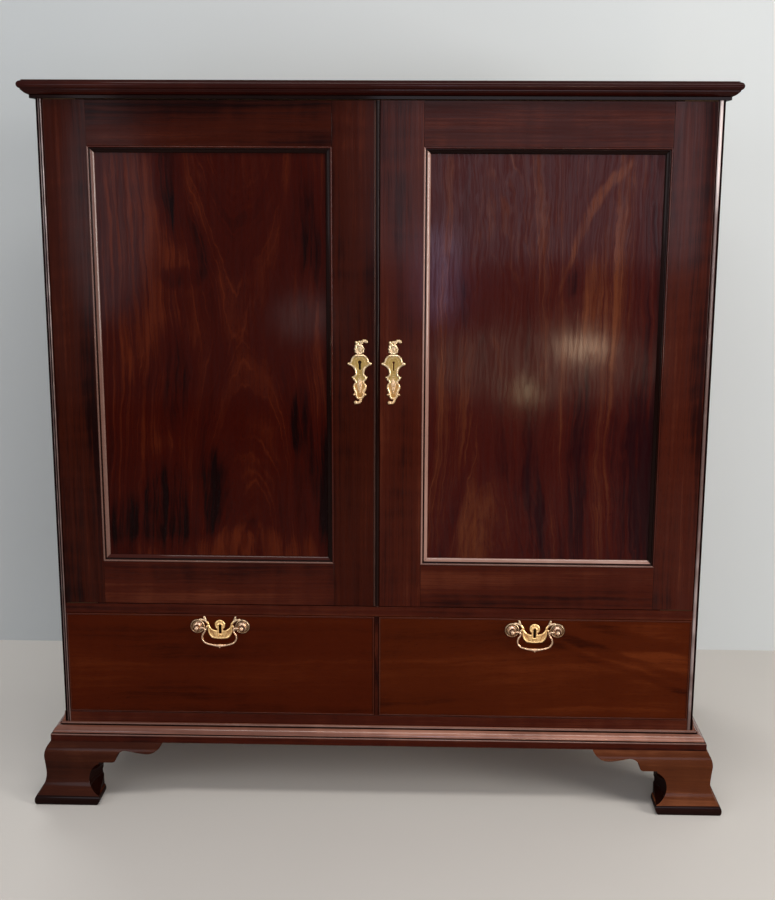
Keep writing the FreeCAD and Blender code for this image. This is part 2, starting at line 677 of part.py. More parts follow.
def keyhole(x, z, y0, y1, radius, slot, tall):
    """A round hole with a narrower slot below it, cut from y0 to y1."""
    hole = rod(radius, Vector(x, y0, z), Vector(x, y1, z))
    return fuse(hole, box(x - slot, x + slot, y0, y1, z - tall, z))


def arris_cut(x):
    """What is taken off to round the front arris of a hinge stile at its outer edge."""
    square = box(x, x + HINGE_ARRIS, FRONT, FRONT + HINGE_ARRIS, DOOR_BOTTOM, DOOR_TOP)
    centre = Vector(x + HINGE_ARRIS, FRONT + HINGE_ARRIS, DOOR_BOTTOM)
    return square.cut(rod(HINGE_ARRIS, centre, centre + Vector(0, 0, DOOR_TOP - DOOR_BOTTOM)))


(hinge_stile, meeting_stile), (top_rail, bottom_rail), panel, mouldings = door(
    LEFT_LIGHT, -DOOR_OUTER, LEFT_DOOR_EDGE)
hinge_stile = hinge_stile.cut([arris_cut(-DOOR_OUTER)] + eye_seats)

lock_y = FRONT + DOOR_THICK - LOCK_DEEP
bolt_y = lock_y + CASE_WALL
lock_case = box(LEFT_DOOR_EDGE - LOCK_WIDE, LEFT_DOOR_EDGE, lock_y, FRONT + DOOR_THICK,
                KEY_Z - LOCK_HIGH / 2.0, KEY_Z + LOCK_HIGH / 2.0)
nose = MEETING_X - DOOR_EDGE_GAP
bolt = box(nose - LOCK_BOLT_LONG, nose, bolt_y, bolt_y + LOCK_BOLT_THICK,
           KEY_Z - LOCK_BOLT_HIGH / 2.0, KEY_Z + LOCK_BOLT_HIGH / 2.0)
channel = box(nose - LOCK_BOLT_LONG - SLIDE_GAP, MEETING_X,
              bolt_y - SLIDE_GAP, bolt_y + LOCK_BOLT_THICK + SLIDE_GAP,
              KEY_Z - LOCK_BOLT_HIGH / 2.0 - SLIDE_GAP, KEY_Z + LOCK_BOLT_HIGH / 2.0 + SLIDE_GAP)
left_keyhole = keyhole(LEFT_KEY_X, KEY_Z + KEY_RADIUS, FRONT - PLATE_THICK,
                       bolt_y - SLIDE_GAP, KEY_RADIUS, KEY_SLOT, KEY_TALL)
parts["left_door_hinge_stile"] = hinge_stile
parts["left_door_meeting_stile"] = meeting_stile.cut([lock_case, left_keyhole])
parts["left_door_top_rail"] = top_rail
parts["left_door_bottom_rail"] = bottom_rail
parts["left_door_panel"] = panel
parts["left_door_moulding"] = group(*mouldings)
parts["left_door_lock"] = lock_case.cut([channel, left_keyhole])
parts["left_door_lock_bolt"] = bolt

astragal_spot = lambda across, out: on_plan(LEFT_DOOR_EDGE + across * ASTRAGAL_WIDE,
                                            FRONT - out * ASTRAGAL_PROUD)
behind = -DOOR_THICK / ASTRAGAL_PROUD
astragal_plan = face(astragal_spot, (0.0, behind), [
    ((0.0, 0.26),),
    ((0.17, 0.26),),
    ((0.19, -0.15),),
    ((0.27, -0.15),),
    ((0.635, 1.0), (1.0, -0.15)),
    ((1.0, behind),)])
astragal = pull(astragal_plan, z=DOOR_TOP - DOOR_BOTTOM)
astragal.translate(Vector(0, 0, DOOR_BOTTOM))
parts["left_door_astragal"] = astragal.cut(channel)

(meeting_stile, hinge_stile), (top_rail, bottom_rail), panel, mouldings = door(
    RIGHT_LIGHT, RIGHT_DOOR_EDGE, DOOR_OUTER)
hinge_stile = hinge_stile.cut(
    [flip_x(arris_cut(-DOOR_OUTER))] + [flip_x(shape) for shape in eye_seats])

mortice = box(RIGHT_DOOR_EDGE, MEETING_X + LOCK_THROW + DOOR_EDGE_GAP,
              bolt_y - SLIDE_GAP, bolt_y + LOCK_BOLT_THICK + SLIDE_GAP,
              KEY_Z - LOCK_BOLT_HIGH / 2.0 - SLIDE_GAP, KEY_Z + LOCK_BOLT_HIGH / 2.0 + SLIDE_GAP)
bolt_axis_y = FRONT + DOOR_THICK / 2.0
bolt_top = DOOR_TOP - BOLT_SUNK
bolt_foot = bolt_top - BOLT_LONG
shoot_bolt = rod(BOLT_RADIUS, Vector(BOLT_X, bolt_axis_y, bolt_foot),
                 Vector(BOLT_X, bolt_axis_y, bolt_top))
thumb_z = bolt_foot + THUMB_START
thumb = box(BOLT_X - THUMB_WIDE / 2.0, BOLT_X + THUMB_WIDE / 2.0, bolt_axis_y,
            FRONT + DOOR_THICK + THUMB_OUT, thumb_z, thumb_z + THUMB_HIGH)
shoot_bolt = fuse(shoot_bolt, thumb)
bolt_hole = rod(BOLT_RADIUS + RUNNING, Vector(BOLT_X, bolt_axis_y, bolt_foot - SLIDE_GAP),
                Vector(BOLT_X, bolt_axis_y, DOOR_TOP))
thumb_slot = box(BOLT_X - THUMB_WIDE / 2.0 - SLIDE_GAP, BOLT_X + THUMB_WIDE / 2.0 + SLIDE_GAP,
                 bolt_axis_y, FRONT + DOOR_THICK, thumb_z - SLIDE_GAP,
                 thumb_z + THUMB_HIGH + BOLT_THROW + SLIDE_GAP)
bolt_run = fuse(bolt_hole, thumb_slot)
keep_hole = rod(BOLT_RADIUS + RUNNING, Vector(BOLT_X, bolt_axis_y, TOP_UNDER),
                Vector(BOLT_X, bolt_axis_y, bolt_top + BOLT_THROW + SLIDE_GAP))
parts["right_door_meeting_stile"] = meeting_stile.cut(
    [mortice, bolt_run, flip_z(bolt_run, DOOR_MIDDLE)])
parts["right_door_hinge_stile"] = hinge_stile
parts["right_door_top_rail"] = top_rail
parts["right_door_bottom_rail"] = bottom_rail
parts["right_door_panel"] = panel
parts["right_door_moulding"] = group(*mouldings)
parts["right_door_top_bolt"] = shoot_bolt
parts["right_door_bottom_bolt"] = flip_z(shoot_bolt, DOOR_MIDDLE)
parts["top_board"] = top_board.cut(pin_leaves + [keep_hole])


# ------------------------------------------------------------------ escutcheons
def ring_piece(x, z, outer, inner, start, sweep):
    """A flat C scroll: part of a ring on the front, from an angle through a sweep."""
    steps = []
    tip = math.radians(start)
    middle = math.radians(start + sweep / 2.0)
    tail = math.radians(start + sweep)
    spot = lambda r, a: (x + r * math.cos(a), z + r * math.sin(a))
    steps.append((spot(outer, middle), spot(outer, tail)))
    steps.append((spot(inner, tail),))
    steps.append((spot(inner, middle), spot(inner, tip)))
    return pull(face(on_front, spot(outer, tip), steps, 2 * PLATE_FLATS), y=PLATE_THICK)


def disc(x, z, radius):
    """A flat round of plate on the front, filed to many sides."""
    corners = [(x + across, z + up) for across, up in many_sided(DISC_SIDES, radius)]
    return pull(polygon(on_front, *corners), y=PLATE_THICK)


def escutcheon():
    """Rococo keyhole plate about its keyhole: a shouldered cartouche that narrows to a
    neck and a lower lobe, with ears, a leaf scroll above and a curl at the foot."""
    def side(hand):
        """One side from the top to the foot, to the right for 1 and to the left for -1."""
        spot = lambda x, z: (hand * x, z)
        return [
            (spot(13.2, 14.6), spot(16.8, 8.4)),
            (spot(18.4, 4.4), spot(22.0, 3.2)),
            (spot(22.8, 0.2), spot(19.8, -1.8)),
            (spot(12.6, -6.6), spot(9.0, -20.0)),
            (spot(13.2, -25.4), spot(12.8, -29.4)),
            (spot(10.4, -31.4), spot(9.0, -34.4)),
            (spot(13.0, -42.4), spot(11.0, -50.4)),
            (spot(9.0, -56.4), spot(8.2, -62.0)),
            (spot(4.8, -66.4),)]

    middle = [((0.0, -66.4),), ((0.0, 18.4),)]
    right = pull(face(on_front, (7.6, 18.4), side(1) + middle, PLATE_FLATS), y=PLATE_THICK)
    left = pull(face(on_front, (-7.6, 18.4), side(-1) + middle, PLATE_FLATS), y=PLATE_THICK)
    return fuse(right, left, disc(-0.6, 27.6, 9.8),
                ring_piece(8.4, 36.2, 10.6, 4.4, 62.0, 140.0), disc(12.4, 42.6, 3.4),
                ring_piece(-4.6, -67.4, 8.8, 3.6, -120.0, 130.0), disc(-7.6, -72.6, 3.6))


plate = escutcheon()
plate.translate(Vector(0, FRONT - PLATE_THICK, KEY_Z))
open_plate = shift(plate, x=LEFT_KEY_X).cut(left_keyhole)
blind_slot = keyhole(RIGHT_KEY_X, KEY_Z + 2.0 * KEY_SLOT, FRONT - PLATE_THICK, FRONT,
                     KEY_RADIUS - PLATE_SLIT, PLATE_SLIT, KEY_TALL)
blind_plate = shift(plate, x=RIGHT_KEY_X).cut(blind_slot)
parts["left_door_escutcheon"] = open_plate
parts["right_door_escutcheon"] = blind_plate


# ------------------------------------------------------------------ swan-neck handles
def backplate():
    """Plate of a handle, drawn about its middle: two rosettes joined by scrolls to a
    crescent that carries the keyhole under a round head."""
    crescent = face(on_front, (-21.4, 4.0), [
        ((-14.6, -6.0), (-6.4, -8.6)),
        ((-5.4, 0.0),),
        ((5.4, 0.0),),
        ((6.4, -8.6),),
        ((14.6, -6.0), (21.4, 4.0)),
        ((23.9, -12.0), (15.6, -24.4)),
        ((0.0, -26.2), (-15.6, -24.4)),
        ((-23.9, -12.0), (-21.4, 4.0))], PLATE_FLATS)
    pieces = [disc(0.0, 3.0, 10.4)]
    crest = ring_piece(-38.0, -3.4, 19.0, 14.6, 22.0, 78.0)
    link = ring_piece(-21.0, -6.0, 9.4, 5.0, 100.0, 100.0)
    horn = pull(face(on_front, (-33.6, 13.0), [
        ((-32.4, 17.0), (-33.2, 20.6)),
        ((-29.0, 20.6),),
        ((-27.4, 16.0), (-25.4, 11.0))], PLATE_FLATS), y=PLATE_THICK)
    for piece in (crest, link, horn, disc(-POST_SPREAD, 0.0, ROSETTE)):
        pieces.extend([piece, flip_x(piece)])
    return fuse(pull(crescent, y=PLATE_THICK), *pieces)


def post():
    """Turned post that carries the bail, with the bolt that passes through the front and
    its eight-sided nut, about the Y axis with the drawer's face at y = 0."""
    start = -PLATE_THICK
    inside = FRONT_THICK + NUT_THICK
    reach = POST_HEAD - POST_NECK
    profile = [(POST_SHAFT, inside),
               (POST_SHAFT, start),
               (POST_FOOT, start),
               (POST_FOOT, start - 0.8),
               (POST_NECK, start - 2.8),
               (POST_NECK, -POST_OUT + POST_HEAD),
               (POST_HEAD, -POST_OUT + reach),
               (POST_HEAD, -POST_OUT - reach),
               (POST_NECK, -POST_OUT - POST_HEAD),
               (POST_NECK / 3.0, -POST_OUT - POST_HEAD - 1.4)]
    rings = [[Vector(x, y, z) for x, z in many_sided(POST_SIDES, radius)] for radius, y in profile]
    nut = pull(polygon(on_front, *many_sided(8, NUT_RADIUS)), y=NUT_THICK)
    return skin(rings).fuse(shift(nut, y=FRONT_THICK))


def bent_bar(path, radius):
    """An eight-sided bar along a row of points on the front, mitred at each of them. At a
    mitre the section stretches by one over the cosine of half the turn."""
    headings = [(there - here).normalize() for here, there in zip(path, path[1:])]
    rings = []
    for point, before, after in zip(path, headings[:1] + headings, headings + headings[-1:]):
        along = (before + after).normalize()
        to_left = on_front(-along.z, along.x) * (1.0 / along.dot(after))
        rings.append([point + to_left * a + Y_AXIS * b for a, b in many_sided(8, radius)])
    return skin(rings)


def bail():
    """Swan-neck bail about the middle of its pivot line: an eight-sided bar bent in arcs
    that run into each other, with a swelling and a small drop in the middle of the grip."""
    path = [on_front(-BAIL_SPAN, 0.0)]
    here = on_front(-BAIL_HALF - NECK_RADIUS, 0.0)
    heading = 0.0
    bends = [(-NECK_RADIUS, 90.0), (-HOLLOW_RADIUS, NECK_TURN),
             (CHEEK_RADIUS, 90.0 + NECK_TURN - GRIP_TURN), (None, GRIP_TURN)]
    path.append(here)
    for radius, turn in bends:
        radius = radius or -here.x / math.sin(math.radians(GRIP_TURN))
        count = max(2, round(turn / BEND_STEP))
        centre = here + on_front(-math.sin(heading), math.cos(heading)) * radius
        for _ in range(count):
            heading += math.copysign(math.radians(turn / count), radius)
            path.append(centre + on_front(math.sin(heading), -math.cos(heading)) * radius)
        here = path[-1]
    low = path[-1]
    other = [on_front(-point.x, point.z) for point in reversed(path[:-1])]
    bar = bent_bar(path + other, BAIL_RADIUS)
    pin = rod(BAIL_PIN, on_front(-BAIL_SPAN - BAIL_PIN_LONG, 0.0), on_front(-BAIL_SPAN, 0.0))
    swell = skin([[Vector(x, b, low.z + a) for a, b in many_sided(8, radius)]
                  for x, radius in ((-SWELL_HALF, BAIL_RADIUS - 0.4), (0.0, BAIL_SWELL),
                                    (SWELL_HALF, BAIL_RADIUS - 0.4))])
    drop = skin([[Vector(a, b, low.z - down) for a, b in many_sided(8, BAIL_RADIUS)]
                 for down in (0.0, BAIL_SWELL + DROP_OUT)])
    return bar.fuse([pin, flip_x(pin), swell, drop])


def drawer(side_name, lip0, lip1, body0, body1, centre):
    """All the pieces of one drawer: front with cock beads, dovetailed sides and back,
    grooved bottom, lock and swan-neck handle."""
    low = RAIL_TOP + DRAWER_GAP
    high = FLOOR_UNDER - DRAWER_GAP
    inner_face = FRONT + FRONT_THICK
    back_face = DRAWER_BACK_Y - DRAWER_BACK_THICK
    bottom = box(body0 + DRAWER_SIDE - GROOVE, body1 - DRAWER_SIDE + GROOVE,
                 inner_face - GROOVE, DRAWER_BACK_Y,
                 DRAWER_BOTTOM_Z, DRAWER_BOTTOM_Z + DRAWER_BOTTOM_THICK)
    bottom_top = DRAWER_BOTTOM_Z + DRAWER_BOTTOM_THICK
    walls = []
    for x0 in (body0, body1 - DRAWER_SIDE):
        wall = box(x0, x0 + DRAWER_SIDE, inner_face, back_face, RAIL_TOP, high - DRAWER_GAP)
        heel = box(x0, x0 + DRAWER_SIDE, back_face, DRAWER_BACK_Y, RAIL_TOP, bottom_top)
        front_tails = tails(on_side, X_AXIS, 4, low + 4.0, high - 8.0, inner_face,
                            FRONT + LIP_THICK, 14.0, 17.5, DRAWER_SIDE)
        back_tails = tails(on_side, X_AXIS, 3, bottom_top + 2.0, DRAWER_BACK_TOP - 2.0,
                           back_face, DRAWER_BACK_Y, 17.0, 20.0, DRAWER_SIDE)
        joints = [shift(tail, x=x0) for tail in front_tails + back_tails]
        walls.append(fuse(wall, heel, *joints).cut(bottom))
    back = box(body0, body1, back_face, DRAWER_BACK_Y, bottom_top, DRAWER_BACK_TOP)
    back = back.cut(walls)

    front = fuse(box(lip0, lip1, FRONT, FRONT + LIP_THICK, low, high),
                 box(body0, body1, FRONT + LIP_THICK, inner_face, low, high))
    bead_section = lambda: face(lambda inward, sunk: Vector(0, FRONT + sunk, inward),
                                (0.0, COCK_BEAD_DEEP), [
        ((0.0, 0.0),),
        ((COCK_BEAD * 0.25, -COCK_BEAD_PROUD),),
        ((COCK_BEAD * 0.75, -COCK_BEAD_PROUD),),
        ((COCK_BEAD, 0.0),),
        ((COCK_BEAD, COCK_BEAD_DEEP),)])
    beads = framed(bead_section, lip0, lip1, low, high)

    case_y = inner_face - DRAWER_LOCK_DEEP
    lock_top = high - DRAWER_GAP
    case = box(centre - DRAWER_LOCK_WIDE / 2.0, centre + DRAWER_LOCK_WIDE / 2.0,
               case_y, inner_face, lock_top - DRAWER_LOCK_HIGH, high)
    bolt_front = case_y + DRAWER_CASE_WALL
    half_bolt = DRAWER_BOLT_WIDE / 2.0
    lock_bolt = box(centre - half_bolt, centre + half_bolt, bolt_front,
                    bolt_front + LOCK_BOLT_THICK, lock_top - DRAWER_BOLT_HIGH, lock_top)
    run = box(centre - half_bolt - SLIDE_GAP, centre + half_bolt + SLIDE_GAP,
              bolt_front - SLIDE_GAP, bolt_front + LOCK_BOLT_THICK + SLIDE_GAP,
              lock_top - DRAWER_BOLT_HIGH - SLIDE_GAP, high)
    hole = keyhole(centre, HANDLE_Z + DRAWER_KEY_TALL - POST_HEAD * 2.3, FRONT - PLATE_THICK,
                   bolt_front - SLIDE_GAP, KEY_RADIUS, DRAWER_KEY_SLOT, DRAWER_KEY_TALL)
    shafts = []
    posts = []
    for sign in (-1, 1):
        x = centre + sign * POST_SPREAD
        shafts.append(rod(POST_SHAFT + RUNNING, Vector(x, FRONT - PLATE_THICK, HANDLE_Z),
                          Vector(x, inner_face, HANDLE_Z)))
        socket_end = x - sign * (POST_SPREAD - BAIL_SPAN - BAIL_PIN_LONG - SLIDE_GAP)
        socket = rod(BAIL_PIN + RUNNING, Vector(socket_end, FRONT - POST_OUT, HANDLE_Z),
                     Vector(x - sign * 10.0, FRONT - POST_OUT, HANDLE_Z))
        posts.append(shift(post(), x, FRONT, HANDLE_Z).cut(socket))
    front = front.cut(walls + beads + [bottom, case, hole] + shafts)
    plate = backplate()
    plate.translate(Vector(centre, FRONT - PLATE_THICK, HANDLE_Z))

    parts[side_name + "_front"] = group(front, *beads)
    parts[side_name + "_left_side"] = walls[0]
    parts[side_name + "_right_side"] = walls[1]
    parts[side_name + "_back"] = back
    parts[side_name + "_bottom"] = bottom
    parts[side_name + "_lock"] = case.cut([run, hole])
    parts[side_name + "_lock_bolt"] = lock_bolt
    parts[side_name + "_backplate"] = plate.cut([hole] + shafts)
    parts[side_name + "_posts"] = group(*posts)
    parts[side_name + "_bail"] = shift(bail(), centre, FRONT - POST_OUT, HANDLE_Z)
    return shift(run, z=FLOOR_UNDER - high)


tongue_left = PARTITION_X - PARTITION_TONGUE / 2.0
tongue_right = PARTITION_X + PARTITION_TONGUE / 2.0
wall_left = PARTITION_X - PARTITION_THICK / 2.0
wall_right = PARTITION_X + PARTITION_THICK / 2.0
left_keep = drawer("left_drawer", -DOOR_OUTER, tongue_left - DRAWER_GAP,
                   -INNER + DRAWER_GAP, wall_left - DRAWER_GAP,
                   (tongue_left - DRAWER_GAP - DOOR_OUTER) / 2.0)
right_keep = drawer("right_drawer", tongue_right + DRAWER_GAP, DOOR_OUTER,
                    wall_right + DRAWER_GAP, INNER - DRAWER_GAP,
                    (tongue_right + DRAWER_GAP + DOOR_OUTER) / 2.0)
keeps = []
for keep in (left_keep, right_keep):
    span = keep.BoundBox
    keeps.append(box(span.XMin, span.XMax, span.YMin, span.YMax,
                     FLOOR_UNDER, FLOOR_UNDER + KEEP_DEEP))
parts["cupboard_floor"] = floor.cut(pin_leaves + [flip_z(keep_hole, DOOR_MIDDLE)] + keeps)

# ------------------------------------------------------------------ write the solids
for name in sorted(parts):
    parts[name].exportStep(os.path.join("parts", name + ".step"))
print(len(parts), "nodes")
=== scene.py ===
# %% [markdown]
# # A mahogany linen press
# The press is a cupboard with two framed and panelled doors over two short drawers. It has a
# cornice, a base moulding, ogee bracket feet and brass key plates and swan-neck handles. The
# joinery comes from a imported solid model, in metres, and stays where it is. This lesson gives it
# the looks: eased arrises, smooth mouldings, cast brass, figured wood and french polish.

# %% Load the joinery
import itertools
import json
import math

import bmesh
import bpy
import numpy as np
from mathutils import Matrix, Vector

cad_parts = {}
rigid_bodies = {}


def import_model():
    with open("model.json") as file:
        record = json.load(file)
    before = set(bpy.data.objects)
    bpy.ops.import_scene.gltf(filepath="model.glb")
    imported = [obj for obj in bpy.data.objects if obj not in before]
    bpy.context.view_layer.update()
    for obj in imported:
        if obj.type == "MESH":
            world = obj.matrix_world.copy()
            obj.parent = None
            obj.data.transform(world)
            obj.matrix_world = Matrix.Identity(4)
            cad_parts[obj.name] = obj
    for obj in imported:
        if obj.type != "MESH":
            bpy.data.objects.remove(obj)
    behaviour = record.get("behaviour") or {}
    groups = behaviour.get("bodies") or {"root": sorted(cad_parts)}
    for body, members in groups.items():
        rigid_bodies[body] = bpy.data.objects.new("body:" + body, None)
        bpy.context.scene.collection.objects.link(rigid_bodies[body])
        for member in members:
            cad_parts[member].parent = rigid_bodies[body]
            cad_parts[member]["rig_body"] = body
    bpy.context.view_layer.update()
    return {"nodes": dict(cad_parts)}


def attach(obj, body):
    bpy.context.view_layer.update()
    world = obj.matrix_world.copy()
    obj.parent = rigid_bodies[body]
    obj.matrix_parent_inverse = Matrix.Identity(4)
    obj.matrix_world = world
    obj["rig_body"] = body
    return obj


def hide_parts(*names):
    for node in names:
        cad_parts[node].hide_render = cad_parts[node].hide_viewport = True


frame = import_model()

# %% [markdown]
# The measures below are the ones a maker would mark on a rod. They are in millimetres, with X
# along the front, Y going back and Z up. The heights and edges repeat those of the joinery, so
# that each new moulding or mount sits on the wood that carries it. A light is the opening of a
# door's frame. Keys and handles give the middle of each mount.

# %% Measures of the press
MM = 0.001
FRONT, BACK, HALF = -261.0, 315.0, 625.0
FOOT_TOP, BASE_HIGH, BASE_REACH, RAIL_TOP = 123.0, 33.2, 24.4, 177.0
CORNICE_LOW, CORNICE_HIGH, CORNICE_REACH = 1363.0, 32.0, 25.9
DRAWER_LOW, DRAWER_HIGH = 178.0, 383.5
DRAWERS = {"left_drawer": (-613.0, -6.0), "right_drawer": (3.0, 613.0)}
LIGHT_LOW, LIGHT_HIGH = 490.0, 1280.0
LIGHTS = {"left_door": (-534.5, -84.5), "right_door": (83.5, 534.5)}
PANEL_SUNK, MOULD_WIDE = 8.0, 12.5
KEY_Z, KEYS = 881.0, {"left_door": -34.0, "right_door": 29.6}
HANDLE_Z, HANDLES = 359.5, {"left_drawer": -309.5, "right_drawer": 308.0}
POST_OUT, PIVOT_AHEAD = 44.1, 12.0
GRAIN_ORDER = {"x": (0, 2, 1), "y": (1, 0, 2), "z": (2, 0, 1)}
CREASE = 38.0
print("panels", LIGHT_HIGH - LIGHT_LOW, "mm high, drawers", DRAWER_HIGH - DRAWER_LOW, "mm high")

# %% [markdown]
# Every new piece is a surface worked out as whole arrays of corners. One helper turns such
# arrays into a mesh, shades it smooth and keeps the creases that are sharper than an angle. It
# also stores a second position with each corner, the grain position: along the board, across it
# and through it. Wood is cut from a log before it is a board, so the pattern has to follow the
# board, not the room, and a store of its own keeps two boards from sharing one pattern.

# %% From arrays to a piece of the press
def outward(points, faces):
    """Turns all faces round if the solid's volume comes out negative. The volume is the sum
    of the triple products of the corners of each triangle that the faces fan into."""
    volume = 0.0
    for face in faces:
        ring = points[np.asarray(face)]
        volume += (np.cross(ring[1:-1], ring[2:]) @ ring[0]).sum()
    return [face[::-1] for face in faces] if volume < 0.0 else faces


def store_values(mesh, name, kind, values):
    """Keeps a value of its own with every corner: a number, or a place in metres."""
    field = "vector" if kind == "FLOAT_VECTOR" else "value"
    data = mesh.attributes.new(name, kind, "POINT").data
    data.foreach_set(field, np.ascontiguousarray(values, np.float32).ravel())


def read_values(items, field, kind, wide):
    """Whole rows of numbers from the corners, faces or triangles of a mesh."""
    values = np.empty(len(items) * wide, kind)
    items.foreach_get(field, values)
    return values.reshape(-1, wide)


def placed(name, data):
    """A new object in the scene."""
    item = bpy.data.objects.new(name, data)
    bpy.context.scene.collection.objects.link(item)
    return item


def shade_smooth(mesh, crease):
    mesh.polygons.foreach_set("use_smooth", np.ones(len(mesh.polygons), bool))
    mesh.update()
    mesh.set_sharp_from_angle(angle=math.radians(crease))


def make_piece(name, replaced, points, faces, finishes, body, slot, grain=None, crease=CREASE):
    """A mesh in metres from corners in millimetres, shown in the place of a solid node."""
    mesh = bpy.data.meshes.new(name)
    mesh.from_pydata((np.asarray(points) * MM).tolist(), [], [list(map(int, face)) for face in faces])
    for finish in finishes:
        mesh.materials.append(finish)
    shade_smooth(mesh, crease)
    if grain is not None:
        store_values(mesh, "grain", "FLOAT_VECTOR", grain)
    mesh.validate()
    item = placed(name, mesh)
    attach(item, body)
    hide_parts(replaced)
    return item


def dress_faces(mesh, shown):
    """Gives each face the slot that a rule finds from the face's middle, in millimetres."""
    mesh.update()
    middles = read_values(mesh.polygons, "center", np.float32, 3) / MM
    mesh.polygons.foreach_set("material_index", np.asarray(shown(middles), np.int32))
    mesh.update()


def soften(item, width, steps=2, rubbed=-1):
    """A bevel takes the sharpness off the arrises. Rubbed is the slot of the finish on the eased
    arrises; in this press that finish paints highlight on some arrises, partly with wear, and
    shade on others."""
    bevel = item.modifiers.new("eased arrises", "BEVEL")
    bevel.width, bevel.segments = width * MM, steps
    bevel.limit_method, bevel.angle_limit = "ANGLE", math.radians(CREASE)
    bevel.use_clamp_overlap, bevel.material = True, rubbed

# %% [markdown]
# ## Wood
# All the woods share one idea: a board is a slice through a log. Far from the heart the rings
# are straight lines along the board. Near it they are long ovals and arches, which is the
# figure that cabinet makers keep for panels. The group below warps the grain position a
# little, measures how far each point lies from the heart and reads a one-dimensional noise
# there. That gives rings that run on like real ones, and thin lines where a second noise passes
# its middle. A hyperbolic tangent along the board closes the arches near the heart and leaves
# straight lines beyond. Slow noise stretched along the grain gives the flames, quick noise
# gives fibres, and a threshold on still finer noise leaves the pores.

# %% Short hands for building node trees
class Graph:
    """A node tree. Each short hand adds one kind of node and gives back what comes out."""

    def __init__(self, tree):
        self.tree = tree
        tree.nodes.clear()

    def feed(self, node, inputs):
        """Links or sets each named input."""
        for key, value in inputs.items():
            if isinstance(value, bpy.types.NodeSocket):
                self.tree.links.new(value, node.inputs[key])
            else:
                node.inputs[key].default_value = value
        return node

    def node(self, kind, inputs=None, **settings):
        new = self.tree.nodes.new("ShaderNode" + kind)
        for key, value in settings.items():
            setattr(new, key, value)
        return self.feed(new, inputs or {})

    def math(self, operation, first, second=0.0, *third, clamp=False):
        values = dict(enumerate((first, second, *third)))
        return self.node("Math", values, operation=operation, use_clamp=clamp).outputs[0]

    def times(self, first, second):
        return self.math("MULTIPLY", first, second)

    def less(self, first, second):
        return self.math("SUBTRACT", first, second)

    def blend(self, first, second, third):
        """First times second, plus third."""
        return self.math("MULTIPLY_ADD", first, second, third)

    def vector(self, operation, first, second=(0.0, 0.0, 0.0)):
        made = self.node("VectorMath", {0: first, 1: second}, operation=operation)
        return made.outputs["Value" if operation == "LENGTH" else "Vector"]

    def split(self, vector):
        return self.node("SeparateXYZ", {0: vector}).outputs

    def xyz(self, *parts):
        return self.node("CombineXYZ", dict(enumerate(parts))).outputs[0]

    def noise(self, place, along, across, detail=2.0, rough=0.5, output="Fac"):
        """Noise with its own number of cells in a metre along and across the board."""
        spread = self.vector("MULTIPLY", place, (along, across, across))
        return self.node("TexNoise", {"Vector": spread, "Scale": 1.0, "Detail": detail,
                                      "Roughness": rough}).outputs[output]

    def line_noise(self, place, scale, detail, rough):
        return self.node("TexNoise", {"W": place, "Scale": scale, "Detail": detail, "Roughness": rough},
                         noise_dimensions="1D").outputs["Fac"]

    def ramp(self, value, low, high):
        """0 at low, 1 at high, with soft ends."""
        return self.node("MapRange", {"Value": value, "From Min": low, "From Max": high},
                         interpolation_type="SMOOTHSTEP").outputs[0]

    def mixed(self, share, first, second):
        """A colour between two others, which may be plain red, green and blue."""
        ends = [end if isinstance(end, bpy.types.NodeSocket) else (*end, 1.0) for end in (first, second)]
        return self.node("Mix", {0: share, 6: ends[0], 7: ends[1]}, data_type="RGBA").outputs[2]

    def bump(self, height, strength, distance):
        return self.node("Bump", {"Height": height, "Strength": strength, "Distance": distance}).outputs[0]


def start_group(name, inputs):
    """A node group with an input for each name and usual value."""
    tree = bpy.data.node_groups.new(name, "ShaderNodeTree")
    for label, value in inputs.items():
        kind = {1: "NodeSocketFloat", 3: "NodeSocketVector", 4: "NodeSocketColor"}[np.size(value)]
        tree.interface.new_socket(name=label, in_out="INPUT", socket_type=kind).default_value = value
    graph = Graph(tree)
    return graph, tree.nodes.new("NodeGroupInput").outputs


def end_group(graph, outputs):
    """Names what comes out of a group and gives the group back."""
    for label, socket in outputs.items():
        kind = {"VALUE": "NodeSocketFloat", "VECTOR": "NodeSocketVector", "RGBA": "NodeSocketColor"}[socket.type]
        graph.tree.interface.new_socket(name=label, in_out="OUTPUT", socket_type=kind)
    graph.feed(graph.tree.nodes.new("NodeGroupOutput"), outputs)
    return graph.tree


# %% The figure of a sawn board
graph, given = start_group("sawn board", {
    "Place": (0, 0, 0), "Heart": (0, 0.5, 0), "Squash": 0.3, "Close": 0.0, "Wander": 0.02, "Rings per metre": 90.0})
warps = []
for along, across, detail, rough, reach in ((1.5, 6.5, 2.0, 0.45, (6.0, 2.0, 2.0)),
                                            (10.0, 30.0, 3.0, 0.55, (0.9, 0.6, 0.6))):
    warp = graph.noise(given["Place"], along, across, detail, rough, "Color")
    warps.append(graph.vector("MULTIPLY", graph.vector("SUBTRACT", warp, (0.5, 0.5, 0.5)), reach))
shift = graph.node("VectorMath", {0: graph.vector("ADD", *warps), "Scale": given["Wander"]},
                   operation="SCALE")
moved = graph.vector("ADD", given["Place"], shift.outputs[0])
x, y, z = graph.split(graph.vector("SUBTRACT", moved, given["Heart"]))
closing = graph.times(graph.math("TANH", graph.times(x, 8.0)), given["Close"])
along = graph.blend(x, given["Squash"], closing)
from_heart = graph.vector("LENGTH", graph.xyz(along, y, graph.times(z, 0.5)))
rings = graph.line_noise(graph.times(from_heart, given["Rings per metre"]), 1.0, 4.0, 0.62)
level = graph.line_noise(graph.blend(from_heart, given["Rings per metre"], 17.3), 1.6, 1.0, 0.5)
